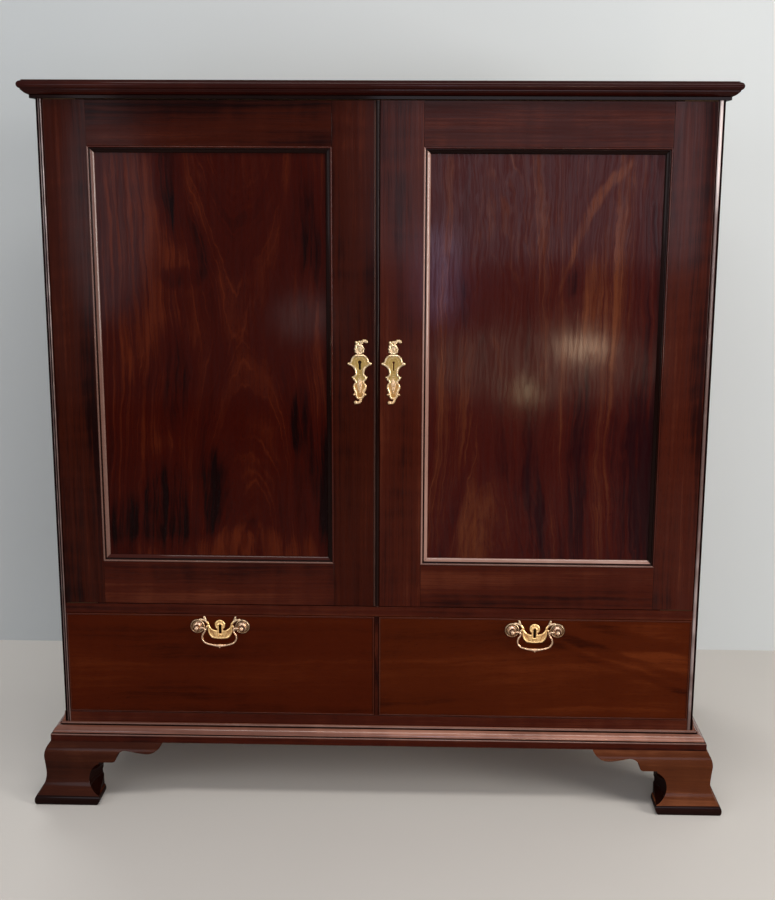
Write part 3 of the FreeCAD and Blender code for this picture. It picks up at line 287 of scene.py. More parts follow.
lines = graph.ramp(graph.math("ABSOLUTE", graph.less(level, 0.5)), 0.055, 0.0)
patches = graph.ramp(graph.noise(moved, 5.0, 16.0, 1.0), 0.26, 0.56)
sawn_board = end_group(graph, {
    "Moved": moved,
    "Rings": graph.ramp(rings, 0.25, 0.75),
    "Lines": graph.times(lines, patches),
    "Flame": graph.noise(moved, 1.6, 17.0, 4.0, 0.58),
    "Fibre": graph.noise(moved, 14.0, 520.0, 2.0, 0.6),
    "Pores": graph.ramp(graph.noise(moved, 70.0, 1500.0, 1.0), 0.62, 0.74),
    "Mottle": graph.noise(moved, 34.0, 5.0, 1.0)})
print("sawn board:", len(sawn_board.nodes), "nodes")

# %% [markdown]
# Dark streaks in mahogany come from the log, but where they fall decides how a door looks. This
# group draws one soft flame at a place of its own. Its distance is measured in half lengths and
# half widths, a slant leans it over, the wandering grain position makes its edge ragged, and
# fine streaks run through it.

# %% One flame in the figure
graph, given = start_group("flame spot", {
    "Place": (0, 0, 0), "Middle": (0, 0, 0), "Long": 0.2, "Wide": 0.05, "Slant": 0.0, "Ragged": 0.5})
x, y, z = graph.split(graph.vector("SUBTRACT", given["Place"], given["Middle"]))
lean = graph.blend(x, given["Slant"], y)
reach = graph.math("ADD", *(graph.math("POWER", graph.math("DIVIDE", graph.math("ABSOLUTE", run), given[half]), 2.0)
                            for run, half in ((x, "Long"), (lean, "Wide"))))
ragged = graph.less(graph.noise(given["Place"], 3.0, 42.0), 0.5)
reach = graph.blend(ragged, graph.times(given["Ragged"], 3.0), reach)
streaks = graph.ramp(graph.noise(given["Place"], 3.0, 75.0, 3.0, 0.6), 0.3, 0.7)
streaks = graph.blend(streaks, 0.9, 0.45)
flame_spot = end_group(graph, {"Mask": graph.times(graph.ramp(reach, 2.6, 0.0), streaks)})
print("flame spot:", len(flame_spot.nodes), "nodes")

# %% [markdown]
# French polish is shellac rubbed on in many thin coats. It sinks into the pores a little, it
# is not quite flat over a wide panel, and hand wear leaves faint smears in it. The polish group
# gives a roughness that changes slowly, and a height made of pores, fibres and slow waves. Where
# cloths have worn it along the grain the coat is thinner, so a glare breaks into streaks.

# %% Polish over the wood
graph, given = start_group("french polish", {
    "Place": (0, 0, 0), "Pores": 0.0, "Fibre": 0.5, "Smooth": 0.22, "Smears": 0.12, "Waves": 1.0, "Sunk": 0.012,
    "Coat": 0.1, "Worn": 0.0})
smears = graph.ramp(graph.noise(given["Place"], 9.0, 13.0, 4.0, 0.6), 0.35, 0.75)
rough = graph.blend(given["Pores"], 0.12, graph.blend(smears, given["Smears"], given["Smooth"]))
waves = graph.times(graph.noise(given["Place"], 5.0, 8.0, 4.0, 0.48), given["Waves"])
height = graph.blend(given["Pores"], -0.05, graph.times(waves, 1.6))
height = graph.blend(given["Fibre"], given["Sunk"], height)
streaks = graph.less(graph.ramp(graph.noise(given["Place"], 5.0, 240.0, 2.0, 0.6), 0.3, 0.7), 0.5)
rubbed = graph.times(graph.times(streaks, given["Worn"]), given["Coat"])
french_polish = end_group(graph, {"Roughness": rough, "Height": height,
                                  "Coat": graph.math("ADD", rubbed, given["Coat"], clamp=True)})
print("french polish:", len(french_polish.nodes), "nodes")

# %% [markdown]
# A finish is then a material with its own numbers. Three colours, in thousandths of full
# strength, make a ramp from the dark streaks through the body of the wood to the light ones.
# Weights say how much flames, rings, fibres, mottle and lines move a point along that ramp.
# Panels are flat pieces of the solid model, so they read plain object coordinates, turned so
# that X runs up the door. All the other pieces read the grain position stored with them.

# %% A finish from its numbers
def start_finish(name):
    finish = bpy.data.materials.new(name)
    finish.use_nodes = True
    graph = Graph(finish.node_tree)
    shader = graph.node("BsdfPrincipled")
    graph.node("OutputMaterial", {0: shader.outputs[0]})
    return finish, graph, shader


FLAME_SPREAD, PORE_SHADE = 2.6, 0.35


def wood_finish(name, *colours, squash, wander, rings, weights, gloss, heart=(0.0, 0.6, 0.0), close=0.0,
                pores=0.5, coat=0.1, specular=0.0, flames=(), upright_from=None, seed=(0.0, 0.0, 0.0), bias=0.0,
                skin=0.12, sunk=0.012, second=None, worn=0.0):
    """Builds a wood material. Flames are (along, across, half length, half width, slant,
    ragged, strength), where a negative strength darkens. Gloss is how smooth the polish is,
    its smears and its waves. Second is another heart with its own squash and closing, whose
    rings take over between two places along the board. Worn is how unevenly the coat is worn
    along the grain."""
    finish, graph, shader = start_finish(name)
    dark, body, light = np.array(colours) / 1000.0
    if upright_from is None:
        place = graph.node("Attribute", attribute_name="grain").outputs["Vector"]
    else:
        x, y, z = graph.split(graph.node("TexCoord").outputs["Object"])
        place = graph.xyz(graph.less(z, upright_from[1]), graph.less(x, upright_from[0]), y)
    place = graph.vector("ADD", place, seed)

    def sawn(heart, squash, close):
        return graph.node("Group", {"Place": place, "Heart": np.add(heart, seed), "Squash": squash,
                                    "Close": close, "Wander": wander, "Rings per metre": rings},
                          node_tree=sawn_board).outputs

    board = sawn(heart, squash, close)
    shown = {label: board[label] for label in ("Flame", "Rings", "Fibre", "Mottle", "Lines")}
    if second:
        *other, first_end, second_start = second
        other = sawn(*other)
        share = graph.ramp(graph.split(board["Moved"])[0], first_end + seed[0], second_start + seed[0])
        for label in ("Rings", "Lines"):
            shown[label] = graph.blend(graph.less(other[label], shown[label]), share, shown[label])
    tone = 0.5 + bias
    for label, weight in zip(shown, (FLAME_SPREAD * weights[0], *weights[1:4])):
        tone = graph.blend(graph.less(shown[label], 0.5), weight, tone)
    tone = graph.blend(shown["Lines"], weights[4], tone)
    for along, across, long, wide, slant, ragged, strength in flames:
        spot = graph.node("Group", {"Place": board["Moved"], "Middle": np.add((along, across, 0.0), seed),
                                    "Long": long, "Wide": wide, "Slant": slant, "Ragged": ragged},
                          node_tree=flame_spot)
        tone = graph.blend(spot.outputs["Mask"], strength, tone)
    stain = graph.node("ValToRGB", {"Fac": tone})
    stain.color_ramp.interpolation = "EASE"
    stops = stain.color_ramp.elements
    stops[0].position, stops[0].color = 0.05, (*dark, 1.0)
    stops[1].position, stops[1].color = 0.95, (*light, 1.0)
    stops.new(0.5).color = (*body, 1.0)
    pore_mask = graph.times(board["Pores"], pores)
    polish = graph.node("Group", {"Place": board["Moved"], "Pores": pore_mask, "Fibre": board["Fibre"],
                                  "Smooth": gloss[0], "Smears": gloss[1], "Waves": gloss[2], "Sunk": sunk,
                                  "Coat": coat, "Worn": worn}, node_tree=french_polish).outputs
    graph.feed(shader, {"Base Color": graph.mixed(pore_mask, stain.outputs["Color"], PORE_SHADE * dark),
                        "Roughness": polish["Roughness"], "Normal": graph.bump(polish["Height"], 1.0, 0.001),
                        "Specular IOR Level": specular, "Coat Weight": polish["Coat"] if worn else coat,
                        "Coat Roughness": skin})
    return finish

# %% [markdown]
# ## The finishes of this press
# Frame, mouldings and feet are plain straight mahogany, nearly quartered, so the heart lies far
# off. The pale finishes below are painted highlights and painted reflections, laid on arrises,
# beads and mouldings that face the window and the lamps above; on plain arrises they are partly
# wear too. The nearly black ones are painted shade, in quirks, gaps and hollows and on faces
# turned from the light. Oak lines the drawers, and the top and back are pine. Neither was ever
# polished, which is why their coat is nil and their roughness high.

# %% Mahogany of the frames, mouldings and feet
BROWN = (6, 0.6, 0.4), (26, 3.5, 1.2), (55, 9.5, 3.5)
REDDER = (10, 1.2, 0.8), (37, 5.2, 2), (72, 15, 6.2)
straight = dict(squash=0.05, wander=0.01, rings=160.0, weights=(0.56, 0.2, 0.28, 0.34, 0.05),
                gloss=(0.26, 0.12, 1.4), worn=0.4)
frame_wood = wood_finish("mahogany frame", *BROWN, **straight)
redder_wood = wood_finish("mahogany frame, redder", *REDDER, coat=0.12, **straight)
frame_woods = {"left_door": frame_wood, "right_door": redder_wood}
# Darker toward the foot: painted shade, as on the feet of the panels.
hinge_wood = wood_finish("mahogany, darker toward the foot", *BROWN, coat=0.13,
                         flames=((-0.45, 0, 0.4, 0.2, 0, 0.2, -0.28),), **straight)
shaded_wood = wood_finish("mahogany frame, shaded", *BROWN, bias=-0.15, **straight)
outer_wood = wood_finish("mahogany, redder, darker outside", *REDDER, coat=0.18,
                         flames=((0, 0, 1.2, 0.4, 0, 0.2, -0.16),), **straight)

plain = dict(squash=0.05, wander=0.01, rings=170.0, weights=(0.35, 0.15, 0.12, 0.25, 0.0), pores=0.05)
PLAIN_WOODS = {  # the three colours, the gloss, coat, specular and skin, and any flames
    # Painted shade: the arrises of the door frames, the astragal, the inner beads and shaded ovolos of the panel
    # mouldings, the underside of the cornice, and the toes and scoops of the feet.
    "mahogany, blackened": (((2, 0.4, 0.2), (7, 1.4, 0.8), (16, 3.6, 2.2)), (0.25, 0.1, 0.1), 0.16, 0.0, 0.08),
    # Painted shade, black: the rounded outer arris of each side board and the quirks of the base moulding.
    "mahogany, dull black arris": (
        ((1.5, 0.4, 0.3), (4.5, 1.2, 0.9), (10, 3, 2.2)), (0.55, 0.1, 0.1), 0.0, 0.0, 0.12),
    # Paler eased arrises: partly wear and partly painted highlight.
    "mahogany rubbed arris": (((14, 2.5, 1.5), (55, 15, 8), (160, 60, 38)), (0.3, 0.1, 0.3), 0.3, 0.05, 0.12),
    # Painted highlight lines: the arrises of the astragal, the lit outer beads of the panel mouldings and the beads
    # of the base moulding.
    "mahogany worn line": (((40, 14, 9), (120, 55, 40), (260, 150, 120)), (0.25, 0.1, 0.1), 0.45, 0.1, 0.1),
    # Painted highlight, the window's reflection on the side beads; its flame paints the brightest part at the top of
    # the right-hand bead.
    "mahogany worn bead": (((40, 15, 10), (90, 50, 43), (600, 500, 480)), (0.26, 0.1, 0.1), 0.55, 0.15, 0.1,
                           (7.5, 10.55, 0.17, 1.0, 0, 0.2, 0.5)),
    # Painted highlight on the ovolos and outer bead of the right-hand door that face the window and the lamp above.
    "mahogany worn ovolo": (((90, 40, 30), (250, 130, 100), (420, 270, 225)), (0.25, 0.1, 0.1), 0.45, 0.1, 0.1),
    "mahogany mouldings": (((8, 1, 0.7), (34, 5, 2.4), (75, 15, 6.5)), (0.24, 0.08, 0.1), 0.28, 0.0, 0.07),
    # Painted sheen: the ogee and top of the base moulding are painted pale where the lamp above is mirrored, and the
    # flame brightens the right-hand part.
    "mahogany base moulding": (((34, 9, 5), (135, 50, 32), (330, 150, 102)), (0.26, 0.1, 0.1), 0.55, 0.06, 0.09,
                               (17.6, 7.07, 0.5, 4.0, 0, 0.2, 0.3)),
    "mahogany cornice": (((5, 0.6, 0.4), (19, 2.4, 1.3), (45, 8, 4.5)), (0.28, 0.1, 0.1), 0.2, 0.0, 0.08)}
painted_shade_wood, painted_shade_black_wood, worn_and_highlit_wood, painted_highlight_line_wood, painted_highlight_bead_wood, painted_highlight_ovolo_wood, mould_wood, painted_sheen_base_wood, cornice_wood = (
    wood_finish(name, *colours, gloss=gloss, coat=coat, specular=specular, skin=skin, flames=flames, **plain)
    for name, (colours, gloss, coat, specular, skin, *flames) in PLAIN_WOODS.items())

footed = dict(squash=0.08, wander=0.016, rings=120.0, weights=(0.5, 0.22, 0.16, 0.35, 0.04), pores=0.3,
              gloss=(0.26, 0.12, 0.5), coat=0.16, skin=0.1)
# The right feet's lighter finish is painted light, standing in for the window that lights that side.
foot_woods = {"left": wood_finish("mahogany feet", (7, 1, 0.5), (30, 6.2, 2.4), (64, 17, 6.5), **footed),
              "right": wood_finish("mahogany feet, lighter", (16, 3, 1), (66, 16.5, 5.2), (135, 42, 16), **footed)}
print("frame, moulding and foot finishes:", len(bpy.data.materials))

# %% [markdown]
# The door panels were sawn near a crotch: one shows an oval under its top edge with long flames
# below it, the other has tall streaks that spread from its foot. The flames are placed one by
# one, measured from the middle of the panel: light ones along the sides of the heart, dark ones
# toward the foot and the right-hand edge. The first flames of each panel are as wide as the
# panel and are no figure: on the left a lighter top, painted sheen, and on both a darker foot,
# painted shade. The drawer fronts have a broad sweep of grain.

# %% Figured mahogany of the panels
# The first two flames are painted light: sheen over the top of the panel, shade over its foot.
LEFT_FLAMES = (
    (0.25, 0, 0.36, 0.6, 0, 0.2, 0.08), (-0.3, 0, 0.2, 0.6, 0, 0.2, -0.08),
    (0.3, -0.155, 0.14, 0.038, 0, 0.4, 0.15), (0.22, -0.07, 0.05, 0.032, 0.3, 0.4, 0.17),
    (0.35, -0.085, 0.09, 0.022, 0.1, 0.4, -0.34), (0.23, -0.035, 0.06, 0.025, 0.5, 0.4, -0.28),
    (0.16, -0.055, 0.018, 0.03, 0, 0.3, -0.3), (0.24, 0.172, 0.11, 0.02, 0, 0.4, -0.38),
    (0.15, 0.172, 0.035, 0.012, 0.1, 0.4, 0.32), (0.05, 0.212, 0.4, 0.014, 0, 0.4, -0.26),
    (-0.03, -0.088, 0.08, 0.034, 0, 0.5, -0.32), (-0.29, -0.097, 0.1, 0.034, 0.05, 0.5, -0.42),
    (-0.25, 0, 0.07, 0.022, 0, 0.5, -0.36), (-0.33, -0.17, 0.07, 0.03, 0, 0.5, -0.32),
    (-0.12, 0.15, 0.06, 0.014, 0, 0.4, -0.34), (-0.22, 0.2, 0.08, 0.026, 0.1, 0.4, -0.34),
    (-0.21, 0.07, 0.08, 0.034, 0, 0.4, 0.14), (-0.375, 0.04, 0.032, 0.19, 0, 0.3, 0.3),
    (0.04, -0.145, 0.05, 0.026, 0, 0.4, 0.18))
# The first flame is painted shade over the foot of the panel.
RIGHT_FLAMES = (
    (-0.32, 0.02, 0.2, 0.6, 0, 0.2, -0.22), (0.21, -0.168, 0.17, 0.018, 0, 0.4, 0.08),
    (0.1, -0.148, 0.04, 0.012, 0, 0.4, -0.24), (0.265, 0.086, 0.09, 0.009, -0.52, 0.3, 0.3),
    (0.17, 0.147, 0.22, 0.01, -0.02, 0.4, 0.15), (0.11, 0.095, 0.08, 0.014, 0, 0.4, 0.18),
    (0.153, 0.054, 0.03, 0.018, 0, 0.4, -0.26), (-0.05, 0.205, 0.36, 0.028, 0, 0.4, -0.2),
    (-0.11, 0.083, 0.1, 0.026, 0, 0.4, -0.14), (-0.26, 0.127, 0.16, 0.013, 0, 0.4, 0.3),
    (-0.3, 0.18, 0.13, 0.024, 0, 0.4, -0.08), (-0.28, -0.01, 0.08, 0.024, 0, 0.4, -0.18),
    (-0.31, 0.083, 0.06, 0.018, 0, 0.4, -0.1), (-0.22, 0.03, 0.14, 0.012, 0, 0.4, 0.2),
    (-0.33, -0.1, 0.09, 0.07, 0, 0.4, 0.24), (-0.3, -0.18, 0.1, 0.01, -0.35, 0.3, -0.26),
    (-0.24, -0.16, 0.2, 0.055, 0, 0.4, 0.22), (0.3, -0.04, 0.12, 0.05, 0, 0.4, 0.1))
panel_woods = {
    "left_door": wood_finish(
        "mahogany panel, oval figure", (4, 0.2, 0.2), (24, 1.7, 0.5), (60, 8.5, 2.2),
        upright_from=(-0.3095, 0.885), heart=(0.4, 0.05, 0.0), squash=0.06, close=0.066, wander=0.028, rings=88.0,
        second=((-0.4, 0.062, 0.0), 0.17, 0.02, 0.1, -0.04), weights=(0.3, 0.2, 0.18, 0.12, 0.17),
        gloss=(0.2, 0.14, 1.8), coat=0.11, skin=0.1, sunk=0.03, worn=0.4, seed=(0.0, 0.0, 3.1),
        flames=LEFT_FLAMES),
    "right_door": wood_finish(
        "mahogany panel, spreading figure", (11, 1.4, 2), (32, 3.6, 2.4), (82, 20, 7.5),
        upright_from=(0.309, 0.885), heart=(-0.42, -0.1, 0.0), squash=0.05, close=0.06, wander=0.034, rings=76.0,
        weights=(0.32, 0.2, 0.18, 0.14, 0.16), gloss=(0.2, 0.16, 2.6), coat=0.122, skin=0.1, sunk=0.12,
        worn=0.85, seed=(4.7, 2.3, 1.9), flames=RIGHT_FLAMES)}
print("panel finishes:", sorted(panel_woods))

# %% Drawers, oak and pine
drawer_woods = {
    "left_drawer": wood_finish(
        "mahogany drawer, left", (10, 1.2, 0.4), (42, 5.2, 1), (70, 11.5, 2.6), heart=(0.25, -0.3, 0.0),
        squash=0.12, wander=0.024, rings=70.0, weights=(0.34, 0.14, 0.2, 0.14, 0.04), gloss=(0.3, 0.12, 0.8),
        coat=0.05, flames=((-0.13, 0.02, 0.13, 0.04, 0.25, 0.5, -0.07), (0.17, -0.01, 0.09, 0.05, 0, 0.4, 0.08),
                           (-0.02, -0.06, 0.16, 0.016, 0.2, 0.4, -0.07), (-0.24, 0, 0.1, 0.06, 0, 0.4, 0.1))),
    "right_drawer": wood_finish(
        "mahogany drawer, right", (13, 1.6, 0.5), (48, 7, 1.4), (85, 15.5, 3.6), heart=(0.1, -0.2, 0.0),
        squash=0.14, wander=0.03, rings=60.0, weights=(0.36, 0.15, 0.2, 0.14, 0.04), gloss=(0.3, 0.12, 0.8),
        coat=0.05, seed=(1.3, 5.2, 0.7),
        flames=((0.16, 0.024, 0.14, 0.009, 0.36, 0.3, -0.22), (0.21, -0.02, 0.12, 0.007, 0.36, 0.3, -0.18),
                (0.19, 0.062, 0.12, 0.01, 0.28, 0.3, -0.2), (0.02, 0.05, 0.09, 0.012, 0.45, 0.4, -0.12),
                (0.24, 0.005, 0.07, 0.08, 0, 0.3, 0.2), (0, -0.045, 0.15, 0.045, 0.15, 0.4, 0.12)))}
oak = wood_finish("oak lining", (130, 70, 30), (300, 185, 90), (420, 290, 160), squash=0.06, wander=0.012,
                  rings=210.0, weights=(0.35, 0.35, 0.25, 0.1, 0.0), pores=0.75, gloss=(0.62, 0.1, 0.0),
                  coat=0.0, specular=0.3)
pine = wood_finish("old pine", (105, 52, 22), (260, 150, 72), (380, 250, 135), squash=0.12, wander=0.02,
                   rings=75.0, weights=(0.4, 0.55, 0.2, 0.1, 0.0), pores=0.2, gloss=(0.66, 0.1, 0.0),
                   coat=0.0, specular=0.3)
print("drawer finishes:", sorted(drawer_woods), "and", oak.name, pine.name)

# %% [markdown]
# ## Metal
# The mounts are cast and lacquered brass. Time leaves them bright where hands and polishing
# cloths reach and dull brown in the hollows. Hollows can't be found by a shader that must
# look the same from all sides, so the relief itself is stored with the mesh: a value named
# "raised" is 1 on the ridges and 0 in the ground, and it drives colour and roughness.

# %% Brass and steel
graph, given = start_group("patina", {"Place": (0, 0, 0), "Raised": 1.0, "Bright": (0.85, 0.6, 0.28, 1),
                                      "Dull": (0.2, 0.11, 0.04, 1), "Smooth": 0.2})
cloud = graph.noise(given["Place"], 160.0, 160.0, 4.0, 0.6)
speck = graph.noise(given["Place"], 900.0, 900.0, 2.0, 0.6)
shine = graph.ramp(graph.blend(graph.less(cloud, 0.5), 0.9, given["Raised"]), 0.02, 0.62)
patina = end_group(graph, {
    "Color": graph.mixed(shine, given["Dull"], given["Bright"]),
    "Roughness": graph.blend(graph.less(1.0, shine), 0.3, graph.blend(speck, 0.12, given["Smooth"])),
    "Height": graph.math("ADD", graph.times(cloud, 0.7), graph.times(speck, 0.25))})


def metal_finish(name, bright, dull, smooth):
    """Brass or steel, with colours in thousandths. Cast pieces store how raised they are."""
    finish, graph, shader = start_finish(name)
    cast = name.startswith("cast")
    raised = graph.node("Attribute", attribute_name="raised").outputs["Fac"] if cast else 0.55
    made = graph.node("Group", {"Place": graph.node("TexCoord").outputs["Object"], "Raised": raised,
                                "Bright": (*np.array(bright) / 1000.0, 1.0), "Dull": (*np.array(dull) / 1000.0, 1.0),
                                "Smooth": smooth}, node_tree=patina).outputs
    graph.feed(shader, {"Base Color": made["Color"], "Roughness": made["Roughness"],
                        "Normal": graph.bump(made["Height"], 0.5, 0.0004), "Metallic": 1.0})
    return finish


METALS = {"cast brass": ((540, 395, 245), (330, 225, 75), 0.21),
          "cast brass, redder": ((550, 375, 215), (360, 195, 60), 0.21),
          "cast brass, yellower": ((840, 540, 240), (260, 100, 30), 0.21),
          "cast brass, pinker": ((580, 415, 265), (70, 34, 16), 0.21),
          "handled brass": ((630, 410, 270), (240, 130, 70), 0.13),
          "plain brass": ((740, 520, 240), (340, 200, 80), 0.26),
          "tarnished brass": ((60, 36, 18), (20, 12, 8), 0.45),
          "filed steel": ((520, 520, 530), (200, 180, 160), 0.3)}
metals = {name: metal_finish(name, *row) for name, row in METALS.items()}
print("metals:", sorted(metals))

# %% [markdown]
# ## Boards, stiles and rails
# The solid model already has each board with its joints cut, but its arrises are knife sharp
# and its faces are loose triangles. So each board gets a worked copy: the triangles are joined,
# flat faces are made whole again, the grain runs the length of the board, and a bevel eases the
# arrises. A board that is a group of touching solids is split first, by looking up for a point
# just under each triangle which solid it is in, so that no two of them are welded into one.

# %% A worked copy of a board
seeds = itertools.count(3, 2)
JUST_INSIDE, SAME_POINT, FLAT_DEGREES = 0.3, 0.01, 0.6
BOARD_APART = np.array((1.37, 2.11, 0.83))


def worked(name, along, finishes, width, solid_of=None, seed=None, crease=CREASE, shown=None, rubbed=-1):
    """Along is the axis that the grain follows. Solid_of gives a number for each of the points
    just inside the triangles. Shown gives the slot of each face from its middle, and rubbed
    is then the slot of the eased arrises."""
    node = frame["nodes"][name]
    seed = next(seeds) if seed is None else seed
    node.data.calc_loop_triangles()
    corners = read_values(node.data.loop_triangles, "vertices", np.int32, 3)
    tri = read_values(node.data.vertices, "co", np.float32, 3).astype(float)[corners] / MM
    normal = np.cross(tri[:, 1] - tri[:, 0], tri[:, 2] - tri[:, 0])
    normal /= np.maximum(np.linalg.norm(normal, axis=1, keepdims=True), 1e-12)
    inside = tri.mean(1) - normal * JUST_INSIDE
    which = np.zeros(len(tri), int) if solid_of is None else np.asarray(solid_of(inside), int)
    whole = bmesh.new()
    for number in np.unique(which):
        chosen = tri[which == number].reshape(-1, 3)
        loose = bpy.data.meshes.new("loose")
        loose.from_pydata(chosen.tolist(), [], np.arange(len(chosen)).reshape(-1, 3).tolist())
        part = bmesh.new()
        part.from_mesh(loose)
        bmesh.ops.remove_doubles(part, verts=part.verts, dist=SAME_POINT)
        bmesh.ops.dissolve_limit(part, angle_limit=math.radians(FLAT_DEGREES),
                                 verts=part.verts, edges=part.edges)
        part.to_mesh(loose)
        whole.from_mesh(loose)
        part.free()
        bpy.data.meshes.remove(loose)
    mesh = bpy.data.meshes.new(name + "_worked")
    whole.to_mesh(mesh)
    whole.free()
    points = read_values(mesh.vertices, "co", np.float32, 3).astype(float)
    middle = (points.min(0) + points.max(0)) / 2.0
    grain = (points - middle)[:, GRAIN_ORDER[along]] * MM + BOARD_APART * seed
    mesh.vertices.foreach_set("co", (points * MM).astype(np.float32).ravel())
    for finish in finishes:
        mesh.materials.append(finish)
    if shown is not None:
        dress_faces(mesh, shown)
    shade_smooth(mesh, crease)
    store_values(mesh, "grain", "FLOAT_VECTOR", grain)
    item = placed(name + "_worked", mesh)
    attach(item, node["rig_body"])
    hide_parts(name)
    if width:
        soften(item, width, rubbed=1 if len(finishes) > 1 and shown is None else rubbed)


def count_worked(part):
    return sum(part in item.name and item.name.endswith("_worked") for item in bpy.data.objects)

# %% [markdown]
# The front edge of a side board ends in a bead. The bead carries a painted highlight, the
# reflection of the window, wide and brightest at the top on the right and a thin line on the
# left, and the rounded arris outside it carries painted shade, black. The partition is oak but
# for the strip that shows in front. The top board keeps its sharp arrises, because a bevel would
# also fill the end of the hole that the bolt of the door runs into.

# %% Carcass
def strip_slots(bead_from):
    """The painted highlight on the bead, then the painted shade on the rounded arris outside it, then the board."""
    def slots(p):
        outer = np.abs(p[:, 0]) >= bead_from
        return np.where(~outer & (p[:, 1] < FRONT + 0.4), 1, np.where(outer & (p[:, 1] < FRONT + 6.0), 2, 0))
    return slots


# The painted highlight is narrower on the left bead than on the right one.
for name, door, bead_from in (("side_left", "left_door", 616.0), ("side_right", "right_door", 618.7)):
    worked(name, "z", [frame_woods[door], painted_highlight_bead_wood, painted_shade_black_wood], 0.4, shown=strip_slots(bead_from))
# The eased arrises of these rails are paler: partly wear, partly painted highlight.
for name in ("cupboard_floor", "base_rail"):
    worked(name, "x", [redder_wood, worn_and_highlit_wood], 0.3)
worked("drawer_partition", "y", [oak, frame_wood], 0.3, shown=lambda p: p[:, 1] < FRONT + 8.5)
worked("top_board", "x", [pine], 0.0)
for name in ("bottom_board", "shelf_lower", "shelf_upper", "shelf_bearers", "door_stops"):
    worked(name, "x" if name != "shelf_bearers" else "y", [oak], 0.5)
BACK_FROM, BACK_BOARD = -613.0, 306.5
worked("back_boards", "z", [pine], 0.9, solid_of=lambda p: np.floor((p[:, 0] - BACK_FROM) / BACK_BOARD))
print("carcass boards worked:", count_worked(""))

# %% Doors
# Each frame piece's second finish, on its eased arrises, is painted shade. The astragal is painted shade with
# painted highlight lines on its arrises.
for door, stile_wood, top_rail_wood in (("left_door", hinge_wood, shaded_wood),
                                        ("right_door", outer_wood, frame_wood)):
    worked(f"{door}_hinge_stile", "z", [stile_wood, painted_shade_wood], 0.45, seed=0)
    worked(f"{door}_meeting_stile", "z", [frame_woods[door], painted_shade_wood], 0.45)
    worked(f"{door}_top_rail", "x", [top_rail_wood, painted_shade_wood], 0.45)
    worked(f"{door}_bottom_rail", "x", [redder_wood, painted_shade_wood], 0.45)
    frame["nodes"][f"{door}_panel"].data.materials[0] = panel_woods[door]
worked("left_door_astragal", "z", [painted_shade_wood, painted_highlight_line_wood], 0.6)
print("door pieces:", count_worked("_door_"))

# %% [markdown]
# A drawer front carries a cock bead, a thin rounded strip let in round its edge, which saves
# the veneer or the arris from chipping. The beads are solids of the same group, so a point that
# lies within three millimetres of the edge and in front of the bead's bed belongs to a bead,
# and the mitre, where the distance to one edge equals the distance to the next, says which.

# %% Drawers
BEAD_WIDE, BED_DEEP = 3.0, 5.0


def bead_or_front(low, high):
    def pick(p):
        sides = np.stack([p[:, 0] - low, high - p[:, 0], p[:, 2] - DRAWER_LOW, DRAWER_HIGH - p[:, 2]])
        return np.where((sides.min(0) < BEAD_WIDE) & (p[:, 1] < FRONT + BED_DEEP), 1 + sides.argmin(0), 0)
    return pick


for drawer, edges in DRAWERS.items():
    # The drawer fronts' eased arrises take the paler finish: partly wear, partly painted highlight.
    worked(f"{drawer}_front", "x", [drawer_woods[drawer], worn_and_highlit_wood], 0.5, bead_or_front(*edges), seed=0)
    for wall, along in (("left_side", "y"), ("right_side", "y"), ("back", "x"), ("bottom", "x")):
        worked(f"{drawer}_{wall}", along, [oak], 0.4)
print("drawer pieces:", count_worked("_drawer_"))

# %% [markdown]
# A front foot is two ogee brackets, mitred at the corner like a picture frame, with a block
# glued behind. The mitre is the plane where both distances from the corner are equal.

# %% Feet
BRACKET_IN, BACK_THICK, TOE_HIGH = 4.0, 20.0, 18.5
SCOOP_X, SCOOP_Z, SCOOP_SMALL, SCOOP_GROWS, SCOOP_DEEP = 84.4, 50.0, 14.4, 18.2, 38.0
SCOOP_NEAR, SCOOP_SHORT, SCOOP_FROM = 2.2, 0.4, 0.1


def foot_part(side, rear):
    """A bracket is 1 on the end, 2 along the front or back, and the block is 3."""
    def pick(p):
        across = HALF + side * p[:, 0]
        back = (BACK - p[:, 1]) if rear else (p[:, 1] - FRONT)
        block = (across > BRACKET_IN) & (back > (BACK_THICK if rear else BRACKET_IN))
        rest = np.where(across > BRACKET_IN, 2, 1) if rear else np.where(across < back, 1, 2)
        return np.where(block, 3, rest)
    return pick


def foot_slots(rear):
    """Painted shade on the toe and in the scoop, a cone whose radius grows with how far out a point lies."""
    def slots(p):
        to_face = (BACK - p[:, 1]) if rear else (p[:, 1] - FRONT)
        to_end = HALF - np.abs(p[:, 0])
        dark = p[:, 2] < TOE_HIGH
        for out, run in ((-to_face, to_end), (-to_end, to_face)):
            radius = SCOOP_SMALL + SCOOP_GROWS * np.clip((out + BRACKET_IN) / SCOOP_DEEP, 0.0, 1.0)
            near = np.abs(np.hypot(run - SCOOP_X, p[:, 2] - SCOOP_Z) - radius) < SCOOP_NEAR
            dark |= near & (run < SCOOP_X - SCOOP_SHORT) & (out > SCOOP_FROM - BRACKET_IN)
        return dark * 1
    return slots


# Right-hand feet take the finish painted lighter for the window; toes and scoops take painted shade, arrises the
# paler worn and highlit finish.
for side, hand in ((1.0, "left"), (-1.0, "right")):
    for place, along in (("front", "x"), ("back", "y")):
        rear = place == "back"
        worked(f"foot_{place}_{hand}", along, [foot_woods[hand], painted_shade_wood, worn_and_highlit_wood], 0.8,
               foot_part(side, rear), crease=32.0, shown=foot_slots(rear), rubbed=2)
print("feet worked:", count_worked("foot_"))

